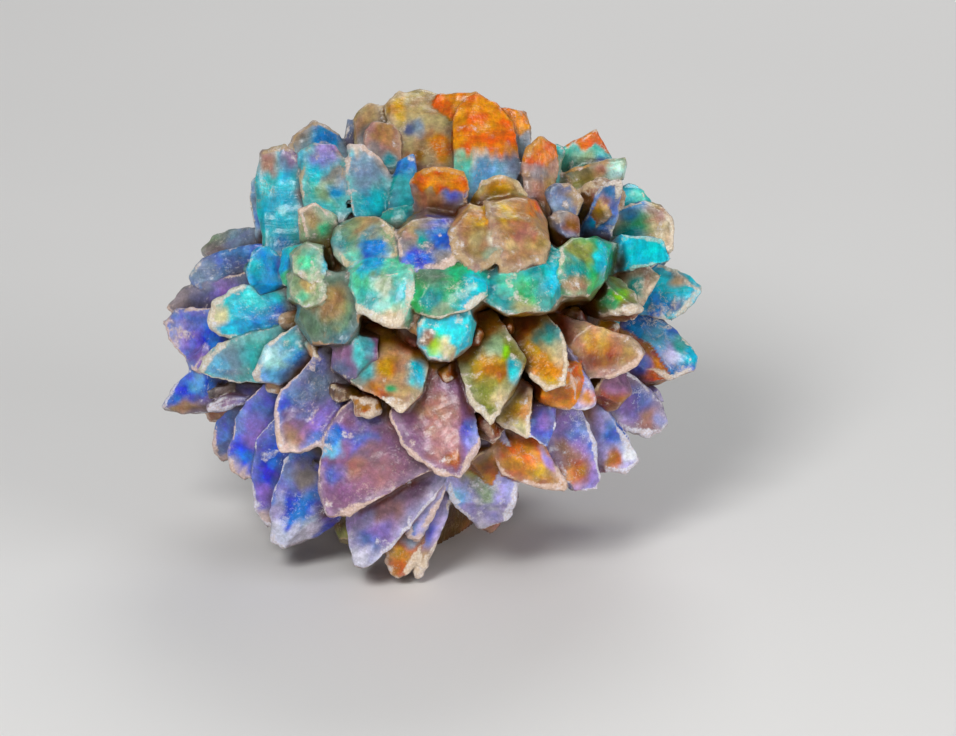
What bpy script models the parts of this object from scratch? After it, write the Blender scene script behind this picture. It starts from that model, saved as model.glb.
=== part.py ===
"""An opal pineapple: one fused cluster of opal pseudomorph spears around a lump of opal.

Every spear is a flat-faced crystal carved from a block by planes. All of them, the core lump and the
small foot that it stands on are joined into one closed solid, cut flat where it rests.
Units are metres, +Z is up, and the origin is on the flat resting spot.
"""

import math
import random
from typing import NamedTuple

import bmesh
import bpy
from mathutils import Matrix, Vector

MM = 0.001

# Overall form, in millimetres
GROWTH_CENTRE_HEIGHT = 42.0
CORE_RADII = (36.0, 35.0, 27.0)
BACK_REACH = (52.0, 50.0, 46.0)

# Corners of the worn foot's resting flat, seen from above, and how the foot swells above it
FOOT_CORNERS = ((-19.0, 4.0), (-17.0, -3.0), (-13.0, -10.0), (-6.0, -13.0), (0.0, -12.0), (6.0, -3.0),
                (11.0, 6.0), (14.0, 14.0), (8.0, 22.0), (-6.0, 24.0), (-17.0, 14.0))
FOOT_MIDDLE = (-2.0, 4.0)
FOOT_SWELL = 1.12
FOOT_HEIGHT = 20.0

# The face of the cluster is described as seen from this height angle above the horizon
FACE_ELEVATION = math.radians(20.0)

# Share of a tip's distance towards the viewer at which its spear takes root
ROOT_DEPTH_SHARE = 0.35

# A spear this close to the viewer's direction, as a cosine, is seen end on
END_ON = 0.8

# How crystals vary: face tilt, end tilt, wander of the ridge, thickness left at a tip, depth of chips
UNEVENNESS = 0.10
END_TILT = 0.25
RIDGE_WANDER = 0.3
TIP_THICKNESS = 0.3
CHIP_DEPTHS = (0.06, 0.16)
CHIP_SEED = 7

# A ledge crystal beside its spear: how far its tip stays back, and its size, as shares of the spear's
LEDGE_STEP = 0.24
LEDGE_WIDTH = 0.55
LEDGE_THICKNESS = 1.14

# The spears of the sides, back and underside: number on a whole sphere, sizes in millimetres, variation
BACK_SPEARS = 114
BACK_SEED = 41
BACK_WIDTHS = (9.5, 16.0)
BACK_FLATNESS = (0.62, 0.95)
BACK_STRETCH = (0.92, 1.06)
BACK_ROOT_DISTANCE = 16.0
DIRECTION_SCATTER = 0.06
ROOT_SWAY = 0.14

# Cosines to the viewer's direction where the face ends, and where spears stop showing past its outline
FACE_EDGE = -0.03
OUTLINE_EDGE = -0.34

# Heights on the unit sphere: the valley behind the top row, the lower outline, the underside
VALLEY_HEIGHT = 0.8
LOWER_OUTLINE_HEIGHT = -0.2
UNDERSIDE_HEIGHT = -0.84

# Share of BACK_REACH that spears have in the valley, at the upper and lower outline and underneath
VALLEY_REACH = 0.66
UPPER_OUTLINE_REACH = 0.84
LOWER_OUTLINE_REACH = 0.72
UNDERSIDE_REACH = 0.86


class Habit(NamedTuple):
    """How a spear ends and narrows, as shares of its own width and thickness."""

    point: float
    blunt: float
    root: float
    roof: float
    wedge: float
    chips: int


SPEAR = Habit(point=1.30, blunt=0.09, root=0.88, roof=0.50, wedge=0.90, chips=2)
BLADE = Habit(point=0.75, blunt=0.22, root=0.92, roof=0.40, wedge=0.60, chips=3)
CHISEL = Habit(point=0.70, blunt=0.28, root=0.92, roof=0.30, wedge=0.45, chips=2)
BLUNT = Habit(point=0.45, blunt=0.45, root=0.92, roof=0.25, wedge=0.25, chips=3)
BLOCK = Habit(point=0.24, blunt=0.60, root=0.95, roof=0.16, wedge=0.15, chips=5)
PYRAMID = Habit(point=0.75, blunt=0.06, root=0.95, roof=0.30, wedge=0.80, chips=1)


class Spear(NamedTuple):
    """One crystal of the visible face.

    tip is (across, up, towards the viewer) and root is (across, up), in millimetres from the growth
    centre as seen at FACE_ELEVATION. lean moves the apex sideways, clockwise round the face when
    positive, in half widths. turn rolls the broad side about the spear's axis, in degrees. ledge is
    where a shorter crystal grown parallel to this one stands, in half widths, or None.
    """

    name: str
    tip: tuple
    root: tuple
    width: float
    thick: float
    habit: Habit
    lean: float = 0.0
    turn: float = 0.0
    ledge: float | None = None


CROWN = (
    Spear("sand_slab", (-2.0, 48.4, -3.0), (1.2, 24.0), 16.0, 12.0, BLUNT, ledge=0.45),
    Spear("sand_knob", (-12.8, 45.6, -5.0), (-8.0, 26.0), 6.8, 7.0, BLUNT),
    Spear("grey_sliver", (-16.2, 43.0, -9.0), (-12.6, 26.0), 2.8, 5.0, CHISEL),
    Spear("mauve_prism", (-10.0, 41.6, 5.0), (-6.0, 21.0), 7.2, 8.0, BLUNT),
    Spear("rosy_topped_blade", (-11.6, 38.4, 15.0), (-9.6, 16.0), 8.8, 9.0, SPEAR, -0.9),
    Spear("blue_fin", (-4.6, 38.8, 12.0), (-4.6, 16.0), 5.0, 7.0, CHISEL),
    Spear("orange_pyramid", (9.4, 47.8, 6.0), (9.8, 22.0), 13.5, 12.0, PYRAMID, ledge=-0.5),
    Spear("orange_shoulder", (6.0, 47.4, 0.0), (6.4, 26.0), 9.0, 9.0, BLUNT),
    Spear("orange_flank", (17.4, 44.4, 3.0), (15.6, 26.0), 6.4, 8.0, CHISEL, 0.2),
    Spear("small_orange_tip", (22.0, 38.2, 14.0), (21.0, 18.0), 7.4, 7.5, PYRAMID),
    Spear("teal_nub", (25.4, 37.6, 4.0), (23.8, 22.0), 3.2, 4.0, BLUNT),
    Spear("orange_tipped_fin", (31.6, 41.0, -2.0), (29.0, 20.0), 10.5, 8.0, SPEAR, 0.25),
    Spear("olive_slab", (38.2, 33.0, 8.0), (23.0, 26.0), 6.5, 9.0, CHISEL, -0.4),
    Spear("brown_ridge", (36.4, 28.0, 20.0), (25.0, 20.0), 7.5, 8.0, BLUNT),
    Spear("striped_shell", (35.6, 27.6, 24.0), (29.0, 14.0), 7.0, 8.0, SPEAR, -0.3),
    Spear("violet_plate", (26.4, 28.0, 26.0), (23.0, 14.0), 8.4, 9.0, BLUNT),
    Spear("violet_pocket", (27.0, 20.8, 32.0), (24.0, 14.0), 6.4, 7.0, BLUNT),
)

UPPER_LEFT = (
    Spear("back_wedge", (-23.6, 41.6, -6.0), (-17.6, 24.0), 11.0, 9.0, BLADE, -0.3),
    Spear("cyan_tower", (-28.6, 35.2, 15.0), (-28.6, 12.0), 11.2, 12.0, BLUNT, 0.1),
    Spear("cyan_tower_twin", (-20.0, 36.4, 16.0), (-18.4, 13.0), 9.2, 11.0, BLUNT, -0.2),
    Spear("sky_sliver", (-33.8, 30.6, 8.0), (-32.6, 12.4), 3.4, 8.0, CHISEL),
    Spear("green_knob", (-21.8, 23.0, 31.0), (-18.4, 12.4), 8.4, 8.0, BLUNT),
    Spear("cyan_cheek", (-33.0, 16.0, 27.0), (-22.0, 11.4), 12.0, 10.0, BLUNT, -0.3),
    Spear("teal_hollow", (-26.4, 13.0, 34.0), (-18.0, 8.0), 9.0, 9.0, BLUNT),
)

LEFT_FRINGE = (
    Spear("fringe_moss", (-43.8, 15.8, -4.0), (-26.0, 17.6), 8.2, 8.0, CHISEL, -0.2),
    Spear("fringe_blue", (-47.6, 11.4, 5.0), (-28.0, 15.0), 8.6, 7.0, SPEAR, -0.2),
    Spear("fringe_slate", (-52.8, 6.2, 0.0), (-29.0, 9.6), 8.6, 8.0, SPEAR, 0.1, ledge=-0.45),
    Spear("fringe_rimmed", (-53.0, -1.0, 4.0), (-29.0, 2.4), 9.6, 8.0, CHISEL, -0.2, ledge=0.5),
    Spear("fringe_violet", (-48.6, -6.6, 9.0), (-29.0, -1.0), 7.4, 7.0, CHISEL),
    Spear("cyan_tongue", (-43.4, 2.2, 22.0), (-23.0, 6.8), 9.4, 8.0, BLADE, -0.3, ledge=-0.5),
    Spear("teal_blade", (-45.4, -7.6, 19.0), (-24.0, -0.6), 8.4, 7.5, SPEAR, -0.2),
    Spear("sky_wedge", (-34.0, -7.0, 32.0), (-17.0, 3.0), 11.6, 10.0, BLADE, -0.2, ledge=0.45),
    Spear("low_spear", (-53.2, -14.8, 5.0), (-30.0, -8.2), 11.4, 9.0, SPEAR, 0.1, ledge=-0.4),
    Spear("thin_plate", (-43.8, -15.2, 17.0), (-26.0, -11.0), 9.0, 3.0, SPEAR, turn=80.0),
    Spear("dark_plate", (-44.8, -12.0, 15.0), (-26.0, -8.6), 9.0, 3.0, SPEAR, turn=80.0),
)

LOWER_LEFT = (
    Spear("skirt_nail", (-41.4, -25.8, 6.0), (-30.6, -9.0), 6.6, 6.0, CHISEL, 0.3),
    Spear("skirt_pair", (-38.6, -28.8, 12.0), (-26.0, -8.6), 9.4, 8.0, CHISEL, 0.2, ledge=-0.45),
    Spear("skirt_long", (-32.8, -37.6, 10.0), (-23.0, -13.6), 7.6, 8.0, CHISEL, 0.2),
    Spear("blue_tip", (-28.4, -40.8, 15.0), (-16.6, -14.6), 13.0, 10.0, BLADE, 0.2, ledge=-0.5),
    Spear("violet_face", (-27.2, -23.0, 34.0), (-11.8, -0.6), 16.0, 11.0, SPEAR, 0.1, ledge=-0.45),
    Spear("olive_under", (-17.6, -41.4, 8.0), (-10.0, -19.6), 9.5, 9.0, BLADE),
    Spear("dark_recess", (-22.6, -30.0, 21.0), (-8.0, -14.0), 12.0, 9.0, BLUNT),
)

LOWER_FRONT = (
    Spear("big_violet", (-18.6, -33.4, 34.0), (-2.0, -11.0), 18.0, 11.0, SPEAR, 0.2, ledge=0.5),
    Spear("mauve_face", (5.0, -28.0, 43.0), (0.0, -4.0), 16.5, 11.0, BLADE, -0.4, ledge=0.4),
    Spear("low_blade", (-13.2, -45.4, 23.0), (0.8, -19.6), 14.0, 10.0, SPEAR, 0.1, ledge=0.45),
    Spear("frosted_fan", (-4.6, -42.0, 22.0), (2.0, -18.0), 10.0, 8.0, SPEAR),
    Spear("amber_fin", (-6.0, -47.8, 18.0), (-1.4, -24.0), 6.6, 8.0, SPEAR),
    Spear("long_fin", (-1.8, -47.8, 17.0), (4.2, -22.6), 9.6, 8.0, SPEAR),
    Spear("round_blade", (9.2, -37.6, 23.0), (9.6, -15.6), 15.0, 11.0, BLADE, -0.2, ledge=-0.5),
    Spear("amber_recess", (13.0, -28.0, 28.0), (8.0, -12.0), 13.0, 11.0, BLUNT),
    Spear("sandy_cyan", (-4.4, -14.8, 47.0), (-5.6, 3.4), 14.0, 11.0, BLADE, 0.1),
)

LOWER_RIGHT = (
    Spear("olive_face", (13.6, -15.2, 46.0), (8.4, 3.4), 14.0, 11.0, SPEAR, -0.2),
    Spear("beige_blade", (18.2, -21.4, 38.0), (12.0, -3.6), 11.0, 9.0, BLADE, -0.2),
    Spear("violet_lens", (23.0, -22.4, 39.0), (20.0, -6.6), 6.6, 8.0, BLADE),
    Spear("amber_blade", (25.2, -30.6, 27.0), (14.0, -12.6), 12.4, 9.0, SPEAR, -0.2),
    Spear("amber_violet", (30.6, -31.0, 22.0), (22.0, -10.6), 11.4, 10.0, BLADE, -0.4, ledge=0.4),
    Spear("frosted_blue", (41.0, -25.6, 14.0), (26.4, -9.6), 11.0, 9.0, SPEAR, 0.1, ledge=0.5),
    Spear("red_violet", (47.4, -17.4, 11.0), (29.0, -6.0), 11.0, 9.0, SPEAR, 0.1, ledge=-0.4),
    Spear("pale_plate", (45.8, -18.8, 5.0), (30.0, -11.0), 7.0, 5.0, CHISEL, 0.3),
    Spear("white_fin", (47.2, -14.4, 2.0), (32.0, -4.6), 5.0, 6.0, SPEAR),
    Spear("tan_tongue", (42.2, -4.0, 29.0), (22.0, 0.8), 11.6, 10.0, BLADE, ledge=-0.5),
    Spear("blue_spear", (53.2, -6.2, 8.0), (35.0, 7.0), 13.0, 10.0, SPEAR, 0.1, ledge=0.4),
    Spear("orange_under", (48.6, -8.8, 6.0), (33.0, -2.0), 9.0, 8.0, BLADE),
    Spear("green_wedge", (41.0, 4.8, 28.0), (27.0, 9.0), 9.0, 9.0, SPEAR),
    Spear("yellow_wedge", (26.8, -8.0, 40.0), (17.0, 5.0), 11.4, 9.0, SPEAR, 0.2),
    Spear("amber_knob", (27.4, -11.6, 35.0), (17.0, -2.6), 9.4, 9.0, BLUNT),
    Spear("lavender_wedge", (33.2, -14.4, 33.0), (23.0, -2.0), 9.0, 9.0, SPEAR, 0.1),
    Spear("red_gap", (37.0, -12.4, 24.0), (26.0, -4.0), 9.0, 9.0, BLUNT),
)

BELT = (
    Spear("cyan_block", (-8.6, 7.2, 50.0), (-6.0, 4.4), 11.4, 10.6, BLOCK),
    Spear("blue_block", (-12.4, 16.8, 43.0), (-9.0, 11.4), 12.6, 10.4, BLOCK),
    Spear("green_block", (5.0, 7.2, 51.0), (3.0, 5.4), 13.6, 12.0, BLOCK),
    Spear("green_lobe", (3.8, -2.4, 49.0), (2.0, 1.4), 9.4, 7.4, BLOCK),
    Spear("teal_slab", (19.4, 8.8, 45.0), (12.0, 6.4), 14.6, 10.0, BLOCK, ledge=0.5),
    Spear("upper_knob", (-23.0, 12.8, 42.0), (-16.0, 8.4), 8.4, 6.8, BLOCK),
    Spear("lower_knob", (-23.8, 7.4, 42.0), (-16.0, 5.4), 8.0, 6.4, BLOCK),
    Spear("dark_round", (-18.0, 1.4, 44.0), (-12.0, 2.4), 12.6, 10.0, BLOCK),
    Spear("sandy_blue", (0.4, 19.4, 45.0), (0.4, 12.4), 12.6, 14.0, BLOCK),
    Spear("tan_point", (11.0, 18.4, 45.0), (8.0, 12.4), 9.6, 12.4, BLOCK),
    Spear("tan_block", (18.6, 19.6, 42.0), (12.0, 12.4), 11.0, 14.0, BLOCK),
    Spear("orange_cap", (1.8, 31.4, 32.0), (2.0, 16.4), 10.0, 10.0, BLUNT),
    Spear("olive_gap", (12.4, 28.6, 31.0), (10.0, 16.4), 10.0, 9.0, BLUNT),
    Spear("green_end", (30.4, 12.6, 38.0), (23.0, 9.4), 10.4, 13.6, BLOCK),
    Spear("tan_nub", (-1.6, 1.0, 48.0), (-1.0, 2.4), 4.0, 4.4, BLOCK),
    Spear("teal_hollow_right", (-6.0, 25.6, 34.0), (-4.0, 13.0), 10.0, 9.0, BLUNT),
    Spear("violet_strip", (-15.0, -6.0, 42.0), (-9.0, 2.0), 9.0, 10.0, BLUNT),
)

RIGHT_FRINGE = (
    Spear("cyan_nub", (43.4, 27.4, -2.0), (29.0, 21.4), 7.0, 8.0, BLUNT),
    Spear("round_top", (48.0, 21.6, 8.0), (32.0, 17.0), 12.0, 10.0, BLADE, -0.2, ledge=-0.4),
    Spear("round_under", (47.8, 16.2, 3.0), (34.0, 14.0), 7.0, 8.0, BLADE),
    Spear("cyan_shelf", (42.0, 13.6, 21.0), (30.0, 14.0), 7.0, 8.0, BLADE),
    Spear("sandy_ridge", (45.4, 11.0, 16.0), (32.0, 9.4), 6.5, 8.0, BLUNT),
    Spear("long_blade", (53.6, 7.4, 6.0), (35.0, 7.4), 11.0, 9.0, BLADE, -0.1, ledge=-0.45),
)

FACE = CROWN + UPPER_LEFT + LEFT_FRINGE + LOWER_LEFT + LOWER_FRONT + LOWER_RIGHT + BELT + RIGHT_FRINGE


def clear_scene():
    """Removes every object that the file opened with."""
    for obj in list(bpy.data.objects):
        bpy.data.objects.remove(obj)


def growth_centre():
    """The point that the spears radiate from."""
    return Vector((0.0, 0.0, GROWTH_CENTRE_HEIGHT)) * MM


def face_point(across, up, towards):
    """Turns a place on the visible face, in millimetres, into a point of the part."""
    rise, run = math.sin(FACE_ELEVATION), math.cos(FACE_ELEVATION)
    offset = Vector((across, up * rise - towards * run, up * run + towards * rise))
    return growth_centre() + offset * MM


def view_direction():
    """The direction from the cluster to the viewer of its face."""
    return Vector((0.0, -math.cos(FACE_ELEVATION), math.sin(FACE_ELEVATION)))


def axes_of(tip, root, facing, turn):
    """The spear's frame: x across its width, y into its depth, z along it to the tip."""
    along = (tip - root).normalized()
    inward = (along * facing.dot(along) - facing).normalized()
    inward = Matrix.Rotation(math.radians(turn), 3, along) @ inward
    across = inward.cross(along)
    return Matrix((across, inward, along)).transposed().to_4x4()


def slice_off(mesh, point, normal):
    """Cuts away what lies beyond a plane and closes the cut with one flat face."""
    everything = mesh.verts[:] + mesh.edges[:] + mesh.faces[:]
    cut = bmesh.ops.bisect_plane(mesh, geom=everything, plane_co=point, plane_no=normal, clear_outer=True)
    rim = [edge for edge in cut["geom_cut"] if isinstance(edge, bmesh.types.BMEdge)]
    if rim:
        bmesh.ops.contextual_create(mesh, geom=rim)


def scattered(amount, chance):
    """A small random offset."""
    return Vector([chance.uniform(-amount, amount) for _ in range(3)])


def uneven(normal, chance):
    """Tilts a face a little, because grown faces are never quite true."""
    way = Vector(normal).normalized()
    return way + scattered(UNEVENNESS, chance)


def chip_corner(mesh, size, chance):
    """Breaks a little off the corner that stands out most in a random outward direction."""
    way = Vector((chance.choice((-1, 1)) * chance.uniform(0.5, 1.0),
                  chance.choice((-1, 1)) * chance.uniform(0.3, 1.0),
                  chance.uniform(0.2, 0.9))).normalized()
    reach = max(vert.co.dot(way) for vert in mesh.verts)
    depth = chance.uniform(*CHIP_DEPTHS) * size
    slice_off(mesh, way * (reach - depth), way)


def carve_spear(width, thick, length, habit, lean, chance):
    """Carves one crystal, its far end at height 0 and its body down the -Z axis."""
    half_w, half_d = width / 2, thick / 2
    apex = habit.blunt * habit.point * width
    shoulder = apex - habit.point * width
    body = max(length + shoulder, length / 3)
    narrowing_w = half_w * (1 - habit.root) / body
    narrowing_d = half_d * (1 - habit.root) / body
    aside = lean * half_w
    ridge = chance.uniform(-RIDGE_WANDER, RIDGE_WANDER) * half_w
    mesh = bmesh.new()
    bmesh.ops.create_cube(mesh, size=2 * (length + width))
    slice_off(mesh, (0, 0, -length), (0, 0, -1))
    for side in (-1, 1):
        corner = (side * half_w, 0, shoulder)
        slice_off(mesh, corner, uneven((side, 0, -narrowing_w), chance))
        slope = (side * (apex - shoulder), 0, half_w - side * aside)
        slice_off(mesh, corner, uneven(slope, chance))
        tip_side = (0, side * TIP_THICKNESS * half_d, apex)
        wedge = (0, side * habit.wedge * thick, (1 - TIP_THICKNESS) * half_d)
        slice_off(mesh, tip_side, uneven(wedge, chance))
        for flank in (-1, 1):
            fall = habit.roof * half_d / (half_w - flank * ridge)
            crest = (ridge, side * half_d, shoulder)
            slice_off(mesh, crest, uneven((flank * fall, side, -narrowing_d), chance))
    slice_off(mesh, (0, 0, 0), (chance.uniform(-END_TILT, END_TILT), chance.uniform(-END_TILT, END_TILT), 1))
    for _ in range(habit.chips):
        chip_corner(mesh, min(width, thick), chance)
    bmesh.ops.recalc_face_normals(mesh, faces=mesh.faces)
    highest = max(vert.co.z for vert in mesh.verts)
    mesh.transform(Matrix.Translation((0, 0, -highest)))
    return mesh


def link_hidden(name, mesh, group):
    """Turns a finished mesh into an object of a collection that only feeds the fused solid."""
    data = bpy.data.meshes.new(name)
    mesh.to_mesh(data)
    mesh.free()
    piece = bpy.data.objects.new(name, data)
    piece.hide_render = True
    piece.display_type = "WIRE"
    group.objects.link(piece)
    return piece


def add_face_spears(group):
    """Builds the crystals that the photographed face shows, one by one."""
    for number, spear in enumerate(FACE):
        tip = face_point(*spear.tip)
        root = face_point(*spear.root, ROOT_DEPTH_SHARE * spear.tip[2])
        end_on = abs((tip - root).normalized().dot(view_direction())) > END_ON
        facing = Vector((0.0, 0.0, 1.0)) if end_on else view_direction()
        place = Matrix.Translation(tip) @ axes_of(tip, root, facing, spear.turn)
        length = (tip - root).length
        chance = random.Random(CHIP_SEED + number)
        width, thick = spear.width * MM, spear.thick * MM
        mesh = carve_spear(width, thick, length, spear.habit, spear.lean, chance)
        mesh.transform(place)
        link_hidden(spear.name, mesh, group)
        if spear.ledge is not None:
            step = Vector((spear.ledge * width / 2, 0.0, -LEDGE_STEP * width))
            mesh = carve_spear(LEDGE_WIDTH * width, LEDGE_THICKNESS * thick, length + step.z,
                               spear.habit, spear.lean, chance)
            mesh.transform(place @ Matrix.Translation(step))
            link_hidden(f"{spear.name}_ledge", mesh, group)


def back_habit(height, chance):
    """Picks a habit for a hidden crystal: stout near the top, pointed round the skirt."""
    if height > 0.55:
        habit = chance.choice((BLUNT, BLUNT, PYRAMID, CHISEL))
    elif height > -0.1:
        habit = chance.choice((BLADE, BLADE, BLUNT, SPEAR))
    else:
        habit = chance.choice((SPEAR, SPEAR, BLADE, CHISEL))
    return habit._replace(chips=1)


def back_share(way):
    """How far a spear that points this way may reach, or 0 where the face has its own spears."""
    nearness = way.dot(view_direction())
    if way.z < UNDERSIDE_HEIGHT:
        return UNDERSIDE_REACH
    if nearness > FACE_EDGE:
        return VALLEY_REACH if way.z > VALLEY_HEIGHT else 0.0
    if nearness > OUTLINE_EDGE:
        return UPPER_OUTLINE_REACH if way.z > LOWER_OUTLINE_HEIGHT else LOWER_OUTLINE_REACH
    return 1.0


def add_back_spears(group):
    """Covers the sides that the face doesn't show with spears spread evenly over a sphere."""
    chance = random.Random(BACK_SEED)
    golden_turn = math.pi * (3 - math.sqrt(5))
    for number in range(BACK_SPEARS):
        height = 1 - 2 * (number + 0.5) / BACK_SPEARS
        ring = math.sqrt(1 - height * height)
        angle = number * golden_turn
        way = Vector((ring * math.cos(angle), ring * math.sin(angle), height))
        way = (way + scattered(DIRECTION_SCATTER, chance)).normalized()
        habit = back_habit(height, chance)
        stretch = chance.uniform(*BACK_STRETCH) * back_share(way)
        width = chance.uniform(*BACK_WIDTHS) * MM
        thick = width * chance.uniform(*BACK_FLATNESS)
        lean = chance.uniform(-0.5, 0.5)
        turn = chance.uniform(-25, 25)
        sway = scattered(ROOT_SWAY, chance)
        if stretch == 0.0:
            continue
        reach = Vector([axis * part for axis, part in zip(BACK_REACH, way)])
        tip = growth_centre() + reach * stretch * MM
        root = growth_centre() + (way * ROOT_DEPTH_SHARE + sway).normalized() * BACK_ROOT_DISTANCE * MM
        mesh = carve_spear(width, thick, (tip - root).length, habit, lean, chance)
        mesh.transform(Matrix.Translation(tip) @ axes_of(tip, root, Vector((0.0, 0.0, 1.0)), turn))
        link_hidden(f"back_{number}", mesh, group)


def make_core():
    """The lump that every spear grows from."""
    mesh = bmesh.new()
    bmesh.ops.create_icosphere(mesh, subdivisions=2, radius=1.0)
    for vert in mesh.verts:
        vert.co = growth_centre() + Vector([axis * part for axis, part in zip(CORE_RADII, vert.co)]) * MM
    data = bpy.data.meshes.new("opal_pineapple")
    mesh.to_mesh(data)
    mesh.free()
    core = bpy.data.objects.new("opal_pineapple", data)
    bpy.context.scene.collection.objects.link(core)
    return core


def add_foot(group):
    """The worn lump under the core, with the small flat that the cluster rests on."""
    middle = Vector((*FOOT_MIDDLE, 0.0))
    below_rest = -2.0
    mesh = bmesh.new()
    for corner in FOOT_CORNERS:
        low = Vector((*corner, below_rest))
        high = middle + (low - middle) * FOOT_SWELL
        high.z = FOOT_HEIGHT
        mesh.verts.new(low * MM)
        mesh.verts.new(high * MM)
    bmesh.ops.convex_hull(mesh, input=mesh.verts)
    link_hidden("foot", mesh, group)


def make_ground_cutter():
    """A block below the resting plane, which trims the foot and any spear that reaches it."""
    side, depth = 160.0 * MM, 60.0 * MM
    mesh = bmesh.new()
    bmesh.ops.create_cube(mesh, size=1.0)
    for vert in mesh.verts:
        vert.co = Vector((vert.co.x * side, vert.co.y * side, (vert.co.z - 0.5) * depth))
    return link_hidden("ground_cutter", mesh, bpy.context.scene.collection)


def opal_material():
    """Milky opal with a soft gloss."""
    material = bpy.data.materials.new("opal")
    material.use_nodes = True
    shader = material.node_tree.nodes["Principled BSDF"]
    shader.inputs["Base Color"].default_value = (0.36, 0.44, 0.52, 1.0)
    shader.inputs["Roughness"].default_value = 0.35
    shader.inputs["Metallic"].default_value = 0.0
    return material


def outline_of(start):
    """The corners of the body that one corner belongs to."""
    body = {start}
    waiting = [start]
    while waiting:
        for edge in waiting.pop().link_edges:
            for vert in edge.verts:
                if vert not in body:
                    body.add(vert)
                    waiting.append(vert)
    return body


def keep_outer_body(core):
    """Applies the joining, and closes the tiny pockets between roots that no air or water reaches."""
    depsgraph = bpy.context.evaluated_depsgraph_get()
    solid = bpy.data.meshes.new_from_object(core.evaluated_get(depsgraph))
    mesh = bmesh.new()
    mesh.from_mesh(solid)
    farthest = max(mesh.verts, key=lambda vert: vert.co.z)
    outer = outline_of(farthest)
    pockets = [vert for vert in mesh.verts if vert not in outer]
    bmesh.ops.delete(mesh, geom=pockets, context="VERTS")
    mesh.to_mesh(solid)
    mesh.free()
    core.modifiers.clear()
    core.data = solid


def main():
    """Builds the fused cluster."""
    clear_scene()
    group = bpy.data.collections.new("spears")
    bpy.context.scene.collection.children.link(group)
    add_face_spears(group)
    add_back_spears(group)
    add_foot(group)
    core = make_core()
    core.data.materials.append(opal_material())
    fuse = core.modifiers.new("fuse_spears", "BOOLEAN")
    fuse.operation = "UNION"
    fuse.operand_type = "COLLECTION"
    fuse.collection = group
    fuse.solver = "EXACT"
    rest = core.modifiers.new("resting_flat", "BOOLEAN")
    rest.operation = "DIFFERENCE"
    rest.object = make_ground_cutter()
    rest.solver = "EXACT"
    keep_outer_body(core)


main()
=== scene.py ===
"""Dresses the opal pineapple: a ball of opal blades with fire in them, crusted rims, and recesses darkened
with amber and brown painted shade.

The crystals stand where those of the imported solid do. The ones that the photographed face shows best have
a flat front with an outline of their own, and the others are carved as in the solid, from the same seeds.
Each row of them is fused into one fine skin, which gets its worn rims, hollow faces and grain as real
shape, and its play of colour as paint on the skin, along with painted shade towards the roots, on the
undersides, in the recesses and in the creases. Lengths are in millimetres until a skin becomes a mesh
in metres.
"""

import logging
import math
import random
from dataclasses import dataclass, field, replace
from enum import Enum

import bmesh
import bpy
import numpy as np
from mathutils import Matrix, Vector


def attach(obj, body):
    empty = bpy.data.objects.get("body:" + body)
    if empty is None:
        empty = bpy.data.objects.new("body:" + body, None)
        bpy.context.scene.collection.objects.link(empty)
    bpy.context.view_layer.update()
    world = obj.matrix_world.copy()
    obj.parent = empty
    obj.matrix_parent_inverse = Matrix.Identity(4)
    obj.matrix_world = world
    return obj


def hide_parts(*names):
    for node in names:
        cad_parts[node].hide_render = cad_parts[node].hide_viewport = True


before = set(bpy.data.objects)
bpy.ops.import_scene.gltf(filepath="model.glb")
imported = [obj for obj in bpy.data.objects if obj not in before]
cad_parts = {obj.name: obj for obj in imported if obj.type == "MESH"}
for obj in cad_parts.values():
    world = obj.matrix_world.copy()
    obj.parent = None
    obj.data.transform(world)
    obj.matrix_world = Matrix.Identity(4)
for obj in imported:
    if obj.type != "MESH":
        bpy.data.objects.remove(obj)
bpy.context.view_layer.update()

LOG = logging.getLogger("opal_pineapple")
NODE = "opal_pineapple"
BODY = "root"
MM = 0.001

# Overall form
GROWTH_CENTRE_HEIGHT = 42.0
CORE_RADII = (36.0, 35.0, 27.0)
BACK_REACH = (52.0, 50.0, 46.0)
FOOT_CORNERS = ((-19.0, 4.0), (-17.0, -3.0), (-13.0, -10.0), (-6.0, -13.0), (0.0, -12.0), (6.0, -3.0),
                (11.0, 6.0), (14.0, 14.0), (8.0, 22.0), (-6.0, 24.0), (-17.0, 14.0))
FOOT_MIDDLE = (-2.0, 4.0)
FOOT_SWELL = 1.12
FOOT_HEIGHT = 20.0
FACE_ELEVATION = math.radians(20.0)
ROOT_DEPTH_SHARE = 0.35
END_ON = 0.8

# How crystals vary
UNEVENNESS = 0.10
END_TILT = 0.25
RIDGE_WANDER = 0.3
TIP_THICKNESS = 0.3
CHIP_DEPTHS = (0.06, 0.16)
CHIP_SEED = 7
LEDGE_STEP = 0.24
LEDGE_WIDTH = 0.55
LEDGE_THICKNESS = 1.14

# The spears of the sides, back and underside
BACK_SPEARS = 114
BACK_SEED = 41
BACK_WIDTHS = (9.5, 16.0)
BACK_FLATNESS = (0.62, 0.95)
BACK_STRETCH = (0.92, 1.06)
BACK_ROOT_DISTANCE = 16.0
DIRECTION_SCATTER = 0.06
ROOT_SWAY = 0.14
FACE_EDGE = -0.03
OUTLINE_EDGE = -0.34
VALLEY_HEIGHT = 0.8
LOWER_OUTLINE_HEIGHT = -0.2
UNDERSIDE_HEIGHT = -0.84
VALLEY_REACH = 0.66
UPPER_OUTLINE_REACH = 0.84
LOWER_OUTLINE_REACH = 0.72
UNDERSIDE_REACH = 0.86

# Crystals with an outline of their own
PLATE_STOCK = 6.0
PLATE_CHIP = 0.6
BLOCK_DEPTH = 0.8
CORE_COVER = 2.5
BACKWARD_SLOPE = -0.8
FORWARD_SLOPE = 1.1
SLOPE_REACHES = (4.0, 15.0)
ROOT_CORNER = 0.3
SIDE_NARROWING = 0.06
BLOCK_NARROWING = -0.05
SIDE_UNEVENNESS = 0.03
SIDE_SPARE = 0.35
CREASE_SHARE = 0.45
CREASE_PLACES = (0.35, 0.75)
CREASE_FALLS = (0.15, 0.7)

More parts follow.
